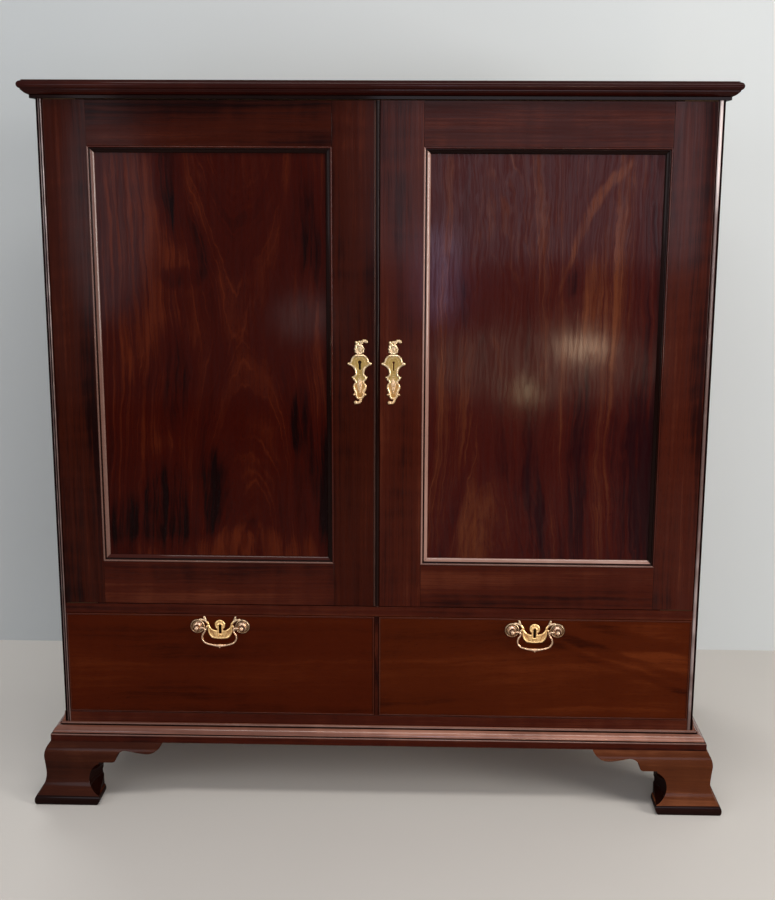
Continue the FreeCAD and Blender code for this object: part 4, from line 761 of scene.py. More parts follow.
# %% [markdown]
# ## Mouldings
# A moulding is one profile carried along a line. The profile is drawn the way a joiner sets one
# out, as straight lines and arcs through three points, and each arc is sampled finely. A length
# is closed by its two ends. To mitre it, the end of each line of the profile is moved along
# by as much as the line stands out, which puts all the ends on a plane at 45 degrees.

# %% Profiles from lines and arcs
def arc(first, via, last, count):
    """Points on the circle through three points, without the first. The centre is where the
    two perpendicular bisectors meet, and the angle runs from first to last by way of via."""
    (ax, ay), (bx, by), (cx, cy) = first, via, last
    twice = 2.0 * (ax * (by - cy) + bx * (cy - ay) + cx * (ay - by))
    a2, b2, c2 = ax * ax + ay * ay, bx * bx + by * by, cx * cx + cy * cy
    ux = (a2 * (by - cy) + b2 * (cy - ay) + c2 * (ay - by)) / twice
    uy = (a2 * (cx - bx) + b2 * (ax - cx) + c2 * (bx - ax)) / twice
    start, middle, end = (math.atan2(y - uy, x - ux) for x, y in (first, via, last))
    sweep = (end - start) % (2.0 * math.pi)
    if (middle - start) % (2.0 * math.pi) > sweep:
        sweep -= 2.0 * math.pi
    angle = start + sweep * np.arange(1, count + 1) / count
    radius = math.hypot(ax - ux, ay - uy)
    return np.stack([ux + radius * np.cos(angle), uy + radius * np.sin(angle)], 1)


def drawn(scale, start, *steps, count):
    """A closed outline. Two numbers in a step are a straight line to a point, and four are an
    arc by way of a point to another."""
    points = [np.array([start], float) * scale]
    for step in steps:
        ends = np.array(step, float).reshape(-1, 2) * scale
        points.append(ends if len(ends) == 1 else arc(points[-1][-1], *ends, count))
    return np.concatenate(points)


def length(first, last):
    """A closed bar between two sections with matching corners, and its faces."""
    count = len(first)
    ring = np.arange(count)
    after = (ring + 1) % count
    sides = np.stack([ring, after, after + count, ring + count], 1).tolist()
    points = np.concatenate([first, last])
    return points, outward(points, sides + [ring[::-1].tolist(), (ring + count).tolist()])


def joined(parts):
    """Several bars as one set of corners and faces."""
    points, faces, base = [], [], 0
    for corners, rings in parts:
        points.append(corners)
        faces += [[index + base for index in face] for face in rings]
        base += len(corners)
    return np.concatenate(points), faces


BAR_APART = np.array((1.9, 0.77, 1.31))


def moulding(name, replaced, bars, axes, seed, finishes, body, shown, width=0.4, steps=2):
    """Bars as one piece. The grain of each runs along its own axis, at a place of its own."""
    grain = [points[:, GRAIN_ORDER[axis]] * MM + BAR_APART * (seed + number)
             for number, ((points, _), axis) in enumerate(zip(bars, axes))]
    item = make_piece(name, replaced, *joined(bars), finishes, body, "mahogany_frame", np.concatenate(grain))
    dress_faces(item.data, shown)
    soften(item, width, steps)
    print(name, len(item.data.polygons), "faces")


cornice_profile = drawn((CORNICE_REACH, CORNICE_HIGH), (0, 0), (0.31, 0), (0.31, 0.18), (0.36, 0.2),
                        (0.55, 0.28, 0.74, 0.43), (0.785, 0.43), (0.785, 0.51), (1.0, 0.72, 0.82, 0.93),
                        (0.72, 0.95), (0.72, 1.0), (0, 1.0), count=12)
COVE_FROM = 0.86
base_profile = drawn((BASE_REACH, BASE_HIGH), (0, 0), (1, 0), (1, 0.4), (0.98, 0.45, 0.91, 0.47),
                     (0.81, 0.47), (0.81, 0.505), (0.86, 0.505), (0.7, 0.75, 0.28, COVE_FROM),
                     (0.19, COVE_FROM), (0.19, 0.89), (0.26, 0.945, 0.17, 1.0), (0, 1.0), count=10)
cove_low = FOOT_TOP + COVE_FROM * BASE_HIGH
cove_profile = drawn((BASE_REACH, RAIL_TOP - cove_low), (0, 0), (0.47, 0), (0.18, 0.35, 0.025, 1.0), (0, 1.0),
                     count=12)
print("profile points: cornice", len(cornice_profile), "base", len(base_profile), "cove", len(cove_profile))

# %% Cornice and base moulding
def section(x, y, z):
    """Rows of X, Y and Z from arrays or plain numbers."""
    return np.stack(np.broadcast_arrays(x, y, z), 1)


def round_the_carcass(profile, low):
    """Front and two returns. A line of the profile that stands out by some amount starts that
    much outside the corner of the carcass, both ways."""
    reach, up = profile[:, 0], profile[:, 1] + low
    front = length(section(-HALF - reach, FRONT - reach, up), section(HALF + reach, FRONT - reach, up))
    return [front] + [length(section(side * (HALF + reach), FRONT - reach, up),
                             section(side * (HALF + reach), BACK, up)) for side in (-1.0, 1.0)]


FILLET_HIGH = 7.0
# The members of the base moulding end at these shares of its height, and each has its slot:
# the fascia plain, painted highlight lines on the beads, painted shade in the quirks and a
# painted sheen on the ogee and the top.
BASE_EDGES, BASE_SLOTS = (0.402, 0.469, 0.507, 0.858, 0.892, 0.998), np.array([1, 2, 3, 0, 3, 2, 0])
# The lowest fillet, on the underside of the cornice, gets painted shade.
moulding("cornice_run", "cornice", round_the_carcass(cornice_profile, CORNICE_LOW), "xyy", 3,
         [cornice_wood, painted_shade_wood], "carcass", lambda p: p[:, 2] < CORNICE_LOW + FILLET_HIGH)

base_bars = round_the_carcass(base_profile, FOOT_TOP)
reach, up = cove_profile[:, 0], cove_profile[:, 1] + cove_low
for side in (-1.0, 1.0):
    base_bars.append(length(*[section(side * (HALF + reach), y, up) for y in (FRONT, BACK)]))
moulding("base_run", "base_moulding", base_bars, "xyyyy", 9, [painted_sheen_base_wood, redder_wood, painted_highlight_line_wood, painted_shade_black_wood],
         "carcass", lambda p: BASE_SLOTS[np.searchsorted(BASE_EDGES, (p[:, 2] - FOOT_TOP) / BASE_HIGH)])

# %% [markdown]
# The moulding round a panel has two fine beads next to the frame and a broad ovolo that falls
# to the panel. It is planed as one strip and cut into four lengths, mitred in the corners. The
# bottom and left-hand lengths face the lamp above and the window, and carry painted highlights
# on their ridges; the inner bead all round and the ovolo of the top and right-hand lengths carry
# painted shade.

# %% Panel mouldings
panel_profile = drawn((MOULD_WIDE, PANEL_SUNK), (0, 1), (0, 0), (0.13, -0.16, 0.26, 0.03), (0.265, 0.16),
                      (0.385, 0.01, 0.495, 0.19), (0.505, 0.33), (0.775, 0.545, 1, 0.86), (1, 1), count=8)
BEAD_EDGES = 0.27 * MOULD_WIDE, 0.5 * MOULD_WIDE
# Slots 1 and 3 paint highlights, slot 2 paints shade and slot 0 is the plain moulding.
MOULD_SLOTS = {"left_door": np.array([[1, 2, 0], [1, 2, 1], [0, 2, 2], [0, 2, 2]]),
               "right_door": np.array([[1, 2, 3], [3, 2, 3], [0, 2, 2], [0, 2, 2]])}


def mould_slots(x0, x1, table):
    """The rows of the table are the bottom, left, right and top lengths, found from the nearest
    edge of the opening. Its columns are the outer bead, the inner bead and the ovolo."""
    def slots(p):
        away = np.stack([p[:, 2] - LIGHT_LOW, p[:, 0] - x0, x1 - p[:, 0], LIGHT_HIGH - p[:, 2]])
        return table[away.argmin(0), np.searchsorted(BEAD_EDGES, away.min(0))]
    return slots


inward, sunk = panel_profile[:, 0], panel_profile[:, 1] + FRONT
for (door, (x0, x1)), seed in zip(LIGHTS.items(), (20, 27)):
    left, right, low, high = x0 + inward, x1 - inward, LIGHT_LOW + inward, LIGHT_HIGH - inward
    corners = [section(x, sunk, z) for x, z in ((left, low), (right, low), (right, high), (left, high))]
    bars = [length(corners[k], corners[(k + 1) % 4]) for k in range(4)]
    moulding(f"{door}_panel_mould", f"{door}_moulding", bars, "xzxz", seed,
             [mould_wood, painted_highlight_line_wood, painted_shade_wood, painted_highlight_ovolo_wood], door, mould_slots(x0, x1, MOULD_SLOTS[door]), 0.15, 1)

# %% [markdown]
# ## Cast brass
# The key plates are flat castings with a rolled edge and a worked face. Such a plate is easiest
# as a height over its own outline. For every point of a fine grid the distance to the outline
# is worked out, positive inside. Cells whose middle is inside are kept, the corners on the rim
# slide onto the outline, and the distance itself shapes the roll of the edge and the raised
# border that runs beside it. A second sheet behind and a wall round the rim close the casting.

# %% Distances, ridges and steps
def inside_by(outline, x, z):
    """Distance from each point to the nearest edge of a closed outline, negative outside. The
    nearest point of an edge is its start plus a clipped share of its run, and a point is inside
    when a line to its right crosses the outline an odd number of times."""
    start, end = outline, np.roll(outline, -1, 0)
    run = end - start
    spot = np.stack([x.ravel(), z.ravel()], 1)[:, None, :]
    share = np.clip(((spot - start) * run).sum(-1) / np.maximum((run ** 2).sum(-1), 1e-9), 0.0, 1.0)
    near = np.sqrt((((start + share[..., None] * run) - spot) ** 2).sum(-1)).min(1)
    rise = np.where(np.abs(run[:, 1]) < 1e-9, 1e-9, run[:, 1])
    crossed = ((start[:, 1] > spot[..., 1]) != (end[:, 1] > spot[..., 1])) & \
        (spot[..., 0] < run[:, 0] * (spot[..., 1] - start[:, 1]) / rise + start[:, 0])
    return np.where(crossed.sum(1) % 2 == 1, near, -near).reshape(x.shape)


def round_plate(x, z, cx, cz, radius):
    return radius - np.hypot(x - cx, z - cz)


def scroll(cx, cz, outer, inner, start, sweep):
    """Outline of a C scroll, part of a ring, swept from a start angle in degrees."""
    angle = np.radians(start + sweep * np.linspace(0.0, 1.0, 25))
    ring = np.stack([np.cos(angle), np.sin(angle)], 1)
    return np.concatenate([outer * ring, inner * ring[::-1]]) + (cx, cz)


def step_up(value, low, high):
    """0 below low, 1 above high, smooth between: three t squared minus two t cubed."""
    t = np.clip((value - low) / (high - low), 0.0, 1.0)
    return t * t * (3.0 - 2.0 * t)


def ridge(value, middle, width):
    """1 at the middle, falling off as e to the minus square of the distance in widths."""
    return np.exp(-((value - middle) / width) ** 2)


def rays(x, z, cx, cz, count):
    """Flutes that fan out: the cosine of so many times the angle seen from a centre."""
    return np.cos(count * np.arctan2(x - cx, z - cz))


WALL_HIGH = 0.6


def rolled(edge, rise, roll, border, middle, width, sunk, low, high):
    """A quarter round up from the edge, a raised border beside it and a sunk field inside."""
    quarter = np.sqrt(1.0 - (1.0 - np.clip(edge / roll, 0, 1)) ** 2)
    return WALL_HIGH + rise * quarter + border * ridge(edge, middle, width) - sunk * step_up(edge, low, high)


PITCH, THINNEST, LEAST_STEEP, BRIGHT_FROM = 0.45, 0.45, 0.5, 0.45


def plate_grid(x0, x1, z0, z1):
    return np.meshgrid(np.arange(x0, x1, PITCH), np.arange(z0, z1, PITCH), indexing="ij")


def casting(name, replaced, x, z, inside, height, cx, cz, body, finishes, shown, ground=-0.45):
    """A closed plate on the face of the wood. Height is how far the face stands out. Ground
    is how far under the middle height the metal is wholly dull."""
    cell = (inside[:-1, :-1] + inside[1:, :-1] + inside[:-1, 1:] + inside[1:, 1:]) > 0.0
    padded = np.pad(cell, 1)
    around = np.stack([padded[:-1, :-1], padded[1:, :-1], padded[:-1, 1:], padded[1:, 1:]])
    used, rim = around.any(0), around.any(0) & ~around.all(0)
    gx, gz = np.gradient(inside, PITCH)
    steep = np.maximum(np.hypot(gx, gz), LEAST_STEEP)
    px = np.where(rim, x - inside * gx / steep ** 2, x)
    pz = np.where(rim, z - inside * gz / steep ** 2, z)
    number = np.full(x.shape, -1)
    number[used] = np.arange(used.sum())
    total = int(used.sum())
    up = np.maximum(height, THINNEST)[used]
    raised = step_up(up - np.median(up), ground, BRIGHT_FROM)
    points = np.concatenate([section(cx + px[used], y, cz + pz[used]) for y in (FRONT - up, FRONT)])
    a, b, c, d = number[:-1, :-1][cell], number[1:, :-1][cell], number[1:, 1:][cell], number[:-1, 1:][cell]
    faces = [np.stack([a, b, c, d], 1), np.stack([d, c, b, a], 1) + total]
    for wall, (p, q) in ((cell & ~padded[1:-1, :-2], (b, a)), (cell & ~padded[1:-1, 2:], (d, c)),
                         (cell & ~padded[:-2, 1:-1], (a, d)), (cell & ~padded[2:, 1:-1], (c, b))):
        p, q = p[wall[cell]], q[wall[cell]]
        faces.append(np.stack([p, q, q + total, p + total], 1))
    faces = np.concatenate(faces).tolist()
    plate = make_piece(name, replaced, points, faces, finishes, body, "brass", crease=50.0)
    store_values(plate.data, "raised", "FLOAT", np.concatenate([raised, np.zeros(total)]))
    dress_faces(plate.data, shown)
    print(name, len(faces), "faces")

# %% [markdown]
# A door's key plate is a rococo cartouche: shoulders with ears round the keyhole, a neck, a
# lower lobe, a leaf scroll that curls over at the top and a small curl at the foot. Its halves
# mirror each other but for the two curls. The chaser's work is added to the height as flutes
# that fan out of the leaf and of the lobe. The right-hand plate is blind, with a slit only.

# %% Key plates of the doors
cartouche_half = drawn((1.0, 1.0), (7.6, 18.4), (13.2, 14.6, 16.8, 8.4), (18.4, 4.4, 22.0, 3.2),
                       (22.8, 0.2, 19.8, -1.8), (12.6, -6.6, 9.0, -20.0), (13.2, -25.4, 12.8, -29.4),
                       (10.4, -31.4, 9.0, -34.4), (13.0, -42.4, 11.0, -50.4), (9.0, -56.4, 8.2, -62.0),
                       (4.8, -66.4), count=8)
MIRROR = np.array((-1.0, 1.0))
cartouche = np.concatenate([cartouche_half, cartouche_half[::-1] * MIRROR])
leaf_curl, foot_curl = scroll(8.4, 36.2, 10.6, 4.4, 62.0, 140.0), scroll(-4.6, -67.4, 8.8, 3.6, -120.0, 130.0)
# Rounds are X, Z and radius. The ears are on both sides.
LEAF_ROUNDS = (-5.2, 34.4, 4.4), (12.4, 42.6, 3.2), (-0.4, 39.0, 5.2), (-6.6, 41.2, 2.6), (-7.6, -72.6, 3.6)
EAR_ROUNDS = (10.2, -57.6, 2.5), (13.6, -24.6, 1.6)
LEAF_X, LEAF_Z, LOBE_TOP = -0.6, 27.6, -33.0


def keyhole(x, z, top, radius, half, tall):
    """Positive inside a round hole with a slot under it."""
    slot = np.minimum(half - np.abs(x), np.minimum(top - z, z - (top - tall)))
    return np.maximum(radius - np.hypot(x, z - top), slot)


def key_plate(name, door, hole):
    """Hole gives the keyhole's top, the radius there, and the slot's half width and height."""
    x, z = plate_grid(-24.0, 24.01, -78.5, 48.6)
    leafy = 0.55 * np.cos(1.7 * z + 0.3 * np.abs(x)) * (step_up(z, 20.0, 26.0) + step_up(-z, 50.0, 56.0))
    serrated = round_plate(x, z, LEAF_X, LEAF_Z, 9.8) + 0.7 * rays(x, z, LEAF_X, LEAF_Z, 9.0)
    body = np.maximum.reduce([inside_by(cartouche, x, z), serrated, inside_by(leaf_curl, x, z) + 0.6 * leafy,
                              inside_by(foot_curl, x, z), *(round_plate(x, z, *row) for row in LEAF_ROUNDS),
                              *(round_plate(np.abs(x), z, *row) for row in EAR_ROUNDS)]) + 0.5 * leafy
    opening = keyhole(x, z, *hole)
    edge, rim = np.clip(body, 0.0, None), np.clip(-opening, 0.0, None)
    height = rolled(edge, 1.0, 1.5, 0.75, 2.0, 0.9, 0.45, 2.8, 4.2) - 0.7 * (1.0 - step_up(rim, 0.0, 1.0))
    leaf = ridge(np.hypot(x - LEAF_X, z - LEAF_Z), 0.0, 70.0 ** 0.5)
    lobe = ridge(x, 0.0, 8.0) * ridge(z, -42.0, 13.0)
    height += (leaf * (0.7 + 0.38 * rays(x, z, 1.5, 17.0, 9.0))
               + lobe * (0.65 + 0.34 * rays(x, z, 0.0, -62.0, 11.2)))
    height += 0.3 * ridge(np.hypot(x * 1.15, z - 1.0), 11.6, 1.1)
    height += 0.3 * np.cos(z * 1.9) * ridge(x, 0.0, 4.0) * ridge(z, -20.0, 7.0)
    height += 0.16 * step_up(edge, 2.4, 4.0) * np.cos(1.5 * x + 0.9 * z) * np.cos(1.3 * z - 0.8 * x)
    height -= (0.6 * ridge(x, 0.0, 2.2) * ridge(z, -43.0, 1.8)
               + 0.5 * ridge(np.hypot(x, z + 16.0), 0.0, 2.0 ** 0.5))
    casting(name, f"{door}_escutcheon", x, z, np.minimum(body, -opening), height, KEYS[door], KEY_Z, door,
            [metals["cast brass"], metals["cast brass, redder"]], lambda p: p[:, 2] < KEY_Z + LOBE_TOP, -0.24)


key_plate("open_key_plate", "left_door", (3.6, 3.3, 2.1, 14.0))
key_plate("blind_key_plate", "right_door", (3.4, 2.2, 1.1, 15.0))

# %% [markdown]
# The drawer handles sit on a pierced backplate. Two round rosettes with turned rings carry the
# posts. Between them hangs a crescent with the keyhole under a round head, joined by scrolls,
# with a small horn over each. The rosettes' rings are functions of the distance to the post.

# %% Backplates
crescent = drawn((1.0, 1.0), (-21.4, 4.0), (-14.6, -6.0, -6.4, -8.6), (-5.4, 0), (5.4, 0), (6.4, -8.6),
                 (14.6, -6.0, 21.4, 4.0), (23.9, -12.0, 15.6, -24.4), (0, -26.2, -15.6, -24.4),
                 (-23.9, -12.0, -21.4, 4.0), count=10)
crest, link = scroll(-38.0, -3.4, 19.0, 14.6, 22.0, 78.0), scroll(-21.0, -6.0, 9.4, 5.0, 100.0, 100.0)
horn = drawn((1.0, 1.0), (-33.6, 13.0), (-32.4, 17.0, -33.2, 20.6), (-29.0, 20.6), (-27.4, 16.0, -25.4, 11.0),
             count=8)
HEAD_Z, ROSETTE_FROM = 4.0, 26.0

for drawer, centre in HANDLES.items():
    x, z = plate_grid(-60.3, 60.31, -28.0, 22.6)
    side = np.abs(x)
    body = np.maximum.reduce([inside_by(crescent, x, z), round_plate(x, z, 0.0, 3.0, 10.4),
                              round_plate(side, z, POST_OUT, 0.0, 14.5),
                              *(inside_by(shape * MIRROR, side, z) for shape in (crest, link, horn))])
    inside = np.minimum(body, -keyhole(x, z, 1.05, 2.6, 2.3, 16.0))
    height = rolled(np.clip(inside, 0.0, None), 0.95, 1.4, 0.6, 1.8, 0.8, 0.35, 2.6, 3.8)
    radius = np.hypot(side - POST_OUT, z)
    turned_rings = 0.95 * ridge(radius, 13.0, 0.8) + 0.7 * ridge(radius, 9.4, 0.7) - 0.45
    petals = 0.22 * np.cos(18.0 * np.arctan2(z, side - POST_OUT)) * ridge(radius, 11.6, 0.7)
    height += (1.0 - step_up(radius, 14.0, 14.9)) * (turned_rings + petals)
    belly = np.exp(-(x / 15.0) ** 4) * ridge(z, -16.0, 7.0)
    height += belly * (0.35 + 0.3 * rays(x, z, 0.0, -44.0, 22.1))
    height += 0.45 * ridge(np.hypot(x, z - HEAD_Z), 0.0, 60.0 ** 0.5)
    casting(f"{drawer}_pierced_plate", f"{drawer}_backplate", x, z, inside, height, centre, HANDLE_Z, drawer,
            [metals["cast brass, yellower"], metals["cast brass, pinker"]],
            lambda p: np.abs(p[:, 0] - centre) > ROSETTE_FROM)

# %% [markdown]
# Posts and nuts are turned. A turning is its profile, radius against length, carried round an
# axis. The ends close in a point on the axis. The bail is a round bar bent on the front plane:
# its direction is the running sum of its curvature, and its place the running sum of its
# direction, so the bends flow into each other as they do in a bar bent round pegs.

# %% Posts and nuts
def tube(rings, count):
    """Corner numbers of rings of so many corners, the next corner of each, and the faces."""
    grid = np.arange(rings * count).reshape(-1, count)
    after = np.roll(grid, -1, 1)
    faces = np.stack([grid[:-1], after[:-1], after[1:], grid[1:]], -1).reshape(-1, 4).tolist()
    return grid.tolist(), after.tolist(), faces


def turning(profile, centre, axis, count=32):
    """Profile rows are radius and length along the axis, from one pole to the other."""
    profile = np.array(profile)
    radius, along = profile[1:-1, 0], profile[1:-1, 1]
    angle = 2.0 * np.pi * (np.arange(count) + 0.5) / count
    first, second = np.outer(radius, np.cos(angle)), np.outer(radius, np.sin(angle))
    along = np.repeat(along[:, None], count, 1)
    body = np.stack((first, along, second) if axis == "y" else (first, second, along), -1).reshape(-1, 3)
    poles = np.zeros((2, 3))
    poles[:, 1 if axis == "y" else 2] = profile[[0, -1], 1]
    points = np.concatenate([body, poles]) + centre
    grid, after, faces = tube(len(radius), count)
    pole = len(body)
    faces += [[pole, b, a] for a, b in zip(grid[0], after[0])]
    faces += [[pole + 1, a, b] for a, b in zip(grid[-1], after[-1])]
    return points, outward(points, faces)


POST = ((0, 2), (2.6, 2), (2.6, -0.5), (8.3, -0.9), (8.5, -2.2), (8, -3), (6.6, -3.4), (5.2, -3.8), (4.2, -4.4),
        (3.7, -5.1), (3.9, -5.8), (4.9, -6.6), (5.9, -8), (6.4, -9.8), (6.5, -12), (6.3, -14), (5.6, -15.8),
        (4.6, -17.2), (3.9, -17.9), (3.7, -18.4), (3.1, -19), (1.9, -19.6), (0, -19.9))
NUT = ((0, 23.9), (7.6, 23.9), (8, 24.3), (8, 27.4), (7.4, 28), (2.7, 28), (2.5, 28.1), (2.3, 28.9), (0, 29.1))
for drawer, centre in HANDLES.items():
    bits = []
    for side in (-1.0, 1.0):
        spot = np.array((centre + side * POST_OUT, FRONT, HANDLE_Z))
        bits += [turning(POST, spot, "y"), turning(NUT, spot, "y", 8)]
    posts = make_piece(f"{drawer}_turned_posts", f"{drawer}_posts", *joined(bits), [metals["handled brass"]],
                       drawer, "brass", crease=30.0)
print("posts:", len(posts.data.polygons), "faces a drawer")

# %% Bails
BAR_STEP, BAR_SIDES = 0.4, 18


def bail_half():
    """Centre line from the pin to the middle of the grip, as places and headings. Each part
    is a radius and a turn in degrees, and its length is the radius times the turn. The grip's
    radius is such that it ends in the middle."""
    heading, place = [np.zeros(1)], [np.array([[-42.5, 0.0]])]

    def run(part_length, turn):
        count = max(int(part_length / BAR_STEP), 2)
        middle = heading[-1][-1] + turn * (np.arange(count) + 0.5) / count
        step = np.stack([np.cos(middle), np.sin(middle)], 1) * part_length / count
        heading.append(heading[-1][-1] + turn * (np.arange(count) + 1.0) / count)
        place.append(place[-1][-1] + np.cumsum(step, 0))

    run(10.5, 0.0)
    for radius, turn in ((4.0, -90.0), (9.0, -42.0), (13.3, 112.0)):
        run(radius * abs(math.radians(turn)), math.radians(turn))
    last = math.radians(20.0)
    run(-place[-1][-1, 0] / math.sin(last) * last, last)
    return np.concatenate(place), np.concatenate(heading)


half_place, half_heading = bail_half()
line = np.concatenate([half_place, half_place[-2::-1] * MIRROR])
heading = np.concatenate([half_heading, -half_heading[-2::-1]])
reach, low = np.abs(line[:, 0]), line[:, 1].min()
swell = 1.3 * ridge(reach, 0.0, 8.0) + 0.3 * ridge(reach, 9.4, 0.7) + 0.18 * ridge(reach, 11.6, 0.6)
thick = 1.8 - 0.2 * step_up(reach, 36.6, 37.4) * (line[:, 1] > -1.0) + swell * (line[:, 1] < -25.0)
around = 2.0 * np.pi * np.arange(BAR_SIDES)[None, :, None] / BAR_SIDES
normal = section(-np.sin(heading), 0.0, np.cos(heading))[:, None]
middle = section(line[:, 0], 0.0, line[:, 1])[:, None]
spoke = np.cos(around) * normal + np.sin(around) * np.array((0.0, 1.0, 0.0))
rounds = middle + thick[:, None, None] * spoke
grid, _, bar_faces = tube(len(line), BAR_SIDES)
bar_faces += [grid[0][::-1], grid[-1]]
DROP = (0, 1), (1.5, 0.9), (1.7, -2.6), (2, -3.4), (1.7, -4.2), (0.9, -4.7), (0, -4.8)
for drawer, centre in HANDLES.items():
    pivot = np.array((centre, FRONT - PIVOT_AHEAD, HANDLE_Z))
    bar = rounds.reshape(-1, 3) + pivot
    bits = [(bar, outward(bar, bar_faces)), turning(DROP, pivot + (0.0, 0.0, low), "z", 16)]
    make_piece(f"{drawer}_swan_neck_bail", f"{drawer}_bail", *joined(bits), [metals["handled brass"]],
               drawer + "_bail", "brass", crease=50.0)
print("bail:", len(line), "steps, grip", round(float(low), 1), "mm under the pivots")

# %% [markdown]
# Locks, bolts and hinge leaves are plain filed work and need no new shape, only their metals.

# %% Locks, bolts and hinges
METAL_OF = {"_lock_bolt": "filed steel", "_top_bolt": "plain brass", "_bottom_bolt": "plain brass",
            "_lock": "tarnished brass", "_hinge_eyes": "tarnished brass", "hinge_pins": "tarnished brass"}
for name, piece in frame["nodes"].items():
    for ending, metal in METAL_OF.items():
        if name.endswith(ending):
            piece.data.materials[0] = metals[metal]
            print(name, "is", metal)

# %% [markdown]
# ## Floor, light and camera
# The press stands on a plain pale floor in soft light. One large lamp at the right is the
# window, a weaker one at the left fills, a strip above lights the mouldings and one behind the
# wall lights the back. The dim panels far in front only serve the polish, which mirrors them as
# a haze and a broken glare. The wall is plain paint that is clear from behind and casts no
# shadow, so that the back of the press can be seen. The world is pale wherever it is seen,
# directly or in polish and brass, and dimmer as a light.

# %% Floor and wall
def stage_sheet(name, corners, shades, cells, detail, rough, specular):
    """A flat sheet of softly clouded paint."""
    finish, graph, shader = start_finish("pale " + name)
    cloud = graph.noise(graph.node("TexCoord").outputs["Object"], cells, cells, detail)
    graph.feed(shader, {"Base Color": graph.mixed(cloud, *shades), "Roughness": rough,
                        "Specular IOR Level": specular})
    mesh = bpy.data.meshes.new(name)
    mesh.from_pydata(corners, [], [(0, 1, 2, 3)])
    mesh.materials.append(finish)
    sheet = placed(name, mesh)
    return sheet, graph, shader


GROUND, WALL_Y = -0.0003, 0.62
stage_sheet("floor", [(-7, -5, GROUND), (7, -5, GROUND), (7, 5, GROUND), (-7, 5, GROUND)],
            ((0.56, 0.53, 0.49), (0.6, 0.57, 0.53)), 1.5, 3.0, 0.7, 0.2)
wall, graph, shader = stage_sheet(
    "wall", [(-6, WALL_Y, GROUND), (6, WALL_Y, GROUND), (6, WALL_Y, 4), (-6, WALL_Y, 4)],
    ((0.55, 0.58, 0.585), (0.58, 0.61, 0.615)), 1.1, 2.0, 0.85, 0.1)
wall.visible_shadow = False
from_behind = graph.node("NewGeometry").outputs["Backfacing"]
shown_wall = graph.node("MixShader", {0: from_behind, 1: shader.outputs[0],
                                      2: graph.node("BsdfTransparent").outputs[0]})
graph.feed(graph.tree.nodes["Material Output"], {0: shown_wall.outputs[0]})
print("stage:", wall.name, "and floor")

# %% World
world = bpy.data.worlds.new("studio")
bpy.context.scene.world = world
world.use_nodes = True
graph = Graph(world.node_tree)
path = graph.node("LightPath").outputs
seen = graph.math("MAXIMUM", graph.math("MAXIMUM", path["Is Camera Ray"], path["Is Glossy Ray"]),
                  path["Is Transmission Ray"])
light_sky, seen_sky = (graph.node("Background", {"Color": colour, "Strength": strength}).outputs[0]
                       for colour, strength in (((0.94, 0.96, 1.0, 1.0), 0.31), ((0.6, 0.62, 0.64, 1.0), 1.0)))
both = graph.node("MixShader", {0: seen, 1: light_sky, 2: seen_sky})
graph.node("OutputWorld", {0: both.outputs[0]})
print("world:", world.name)

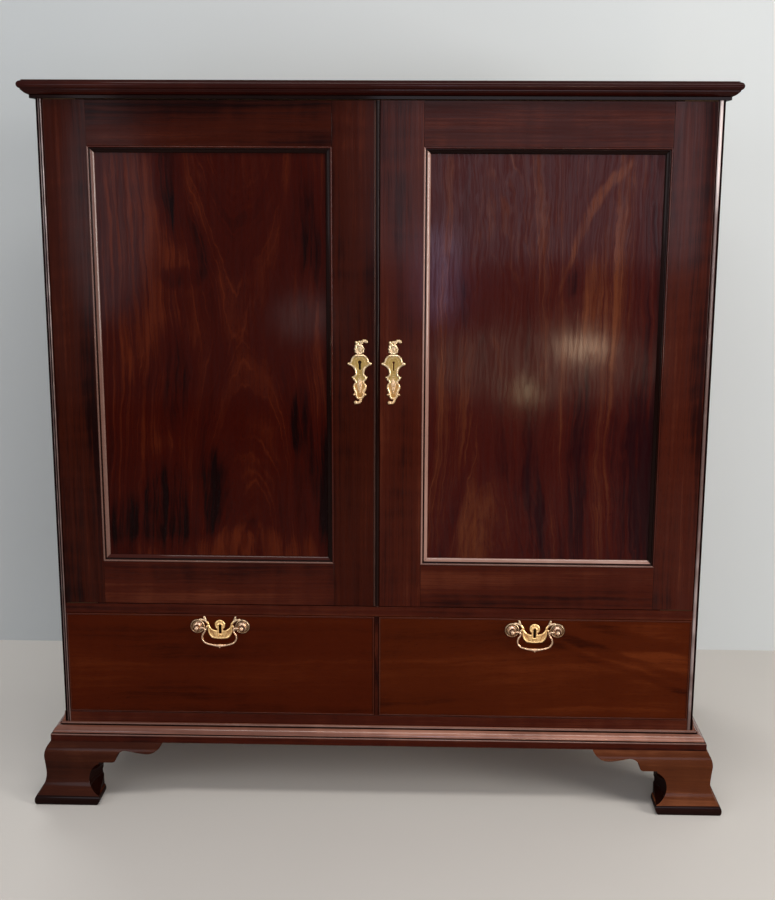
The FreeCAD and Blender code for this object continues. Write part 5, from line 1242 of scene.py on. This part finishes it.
# %% Lamps
LAMPS = {  # place, aim, width and height, power, colour
    "RECTANGLE": {
        "window": ((3.0, -1.9, 1.25), (0.0, -0.25, 0.75), (0.9, 1.6), 74.0, (1.0, 0.97, 0.93)),
        "fill": ((-2.8, -2.8, 1.7), (0.0, -0.2, 0.7), (1.6, 1.6), 24.0, (0.95, 0.97, 1.0)),
        "above": ((0.3, -1.45, 3.1), (0.2, -0.2, 0.6), (2.6, 0.5), 40.0, (1.0, 0.97, 0.94)),
        "behind": ((-1.5, 2.6, 2.4), (0.0, 0.2, 0.7), (1.6, 1.2), 34.0, (1.0, 1.0, 1.0)),
        "sky, right": ((0.6, -3.3, 1.26), (0.3, -0.26, 1.2), (1.5, 0.74), 12.6, (0.84, 0.86, 1.0))},
    "ELLIPSE": {
        "sky, narrow": ((0.13, -3.3, 0.83), (0.12, -0.26, 1.0), (0.16, 0.4), 1.7, (0.7, 0.62, 1.0)),
        "sky, left": ((-1.3, -3.3, 1.1), (-0.5, -0.26, 1.15), (0.46, 0.95), 3.4, (0.88, 0.9, 1.0)),
        "haze, left": ((-0.43, -3.3, 0.65), (-0.14, -0.26, 0.97), (0.26, 0.16), 0.4, (1.0, 0.92, 0.92)),
        "haze, right": ((0.55, -3.3, 0.46), (0.3, -0.26, 0.9), (1.05, 0.3), 2.9, (1.0, 0.76, 0.58)),
        "glare, high": ((0.74, -3.3, 0.53), (0.38, -0.26, 0.91), (0.22, 0.06), 2.7, (1.0, 0.68, 0.44)),
        "glare, low": ((0.507, -3.3, 0.34), (0.28, -0.26, 0.83), (0.1, 0.085), 0.75, (1.0, 0.74, 0.42))}}
for shape, rows in LAMPS.items():
    for name, (place, aim, (wide, high), power, colour) in rows.items():
        light = bpy.data.lights.new(name, "AREA")
        light.shape, light.size, light.size_y = shape, wide, high
        light.energy, light.color = power, colour
        lamp = placed(name, light)
        lamp.location = place
        lamp.rotation_euler = (Vector(aim) - Vector(place)).to_track_quat("-Z", "Y").to_euler()
        lamp.visible_camera = False
    print("lamps:", shape, sorted(rows))

# %% [markdown]
# The camera stands a little right of the middle, at chest height, 2.4 metres from the doors and
# tilted down by a bit less than twelve degrees. Its three axes are written out as directions.

# %% Camera
right = Vector((0.99963, 0.02687, 0.00462))
down = Vector((0.00998, -0.20323, -0.97908))
ahead = Vector((-0.02537, 0.97876, -0.20342))
lens = bpy.data.cameras.new("camera")
lens.sensor_width, lens.lens, lens.shift_x, lens.shift_y = 36.0, 52.23, -0.0091, 0.0
camera = placed("camera", lens)
camera.matrix_world = (Matrix.Translation((0.0975, -2.6954, 1.223))
                       @ Matrix((right, -down, -ahead)).transposed().to_4x4())
bpy.context.scene.camera = camera
bpy.context.scene.view_settings.view_transform = "Standard"
print("camera field", round(math.degrees(lens.angle), 1), "degrees")
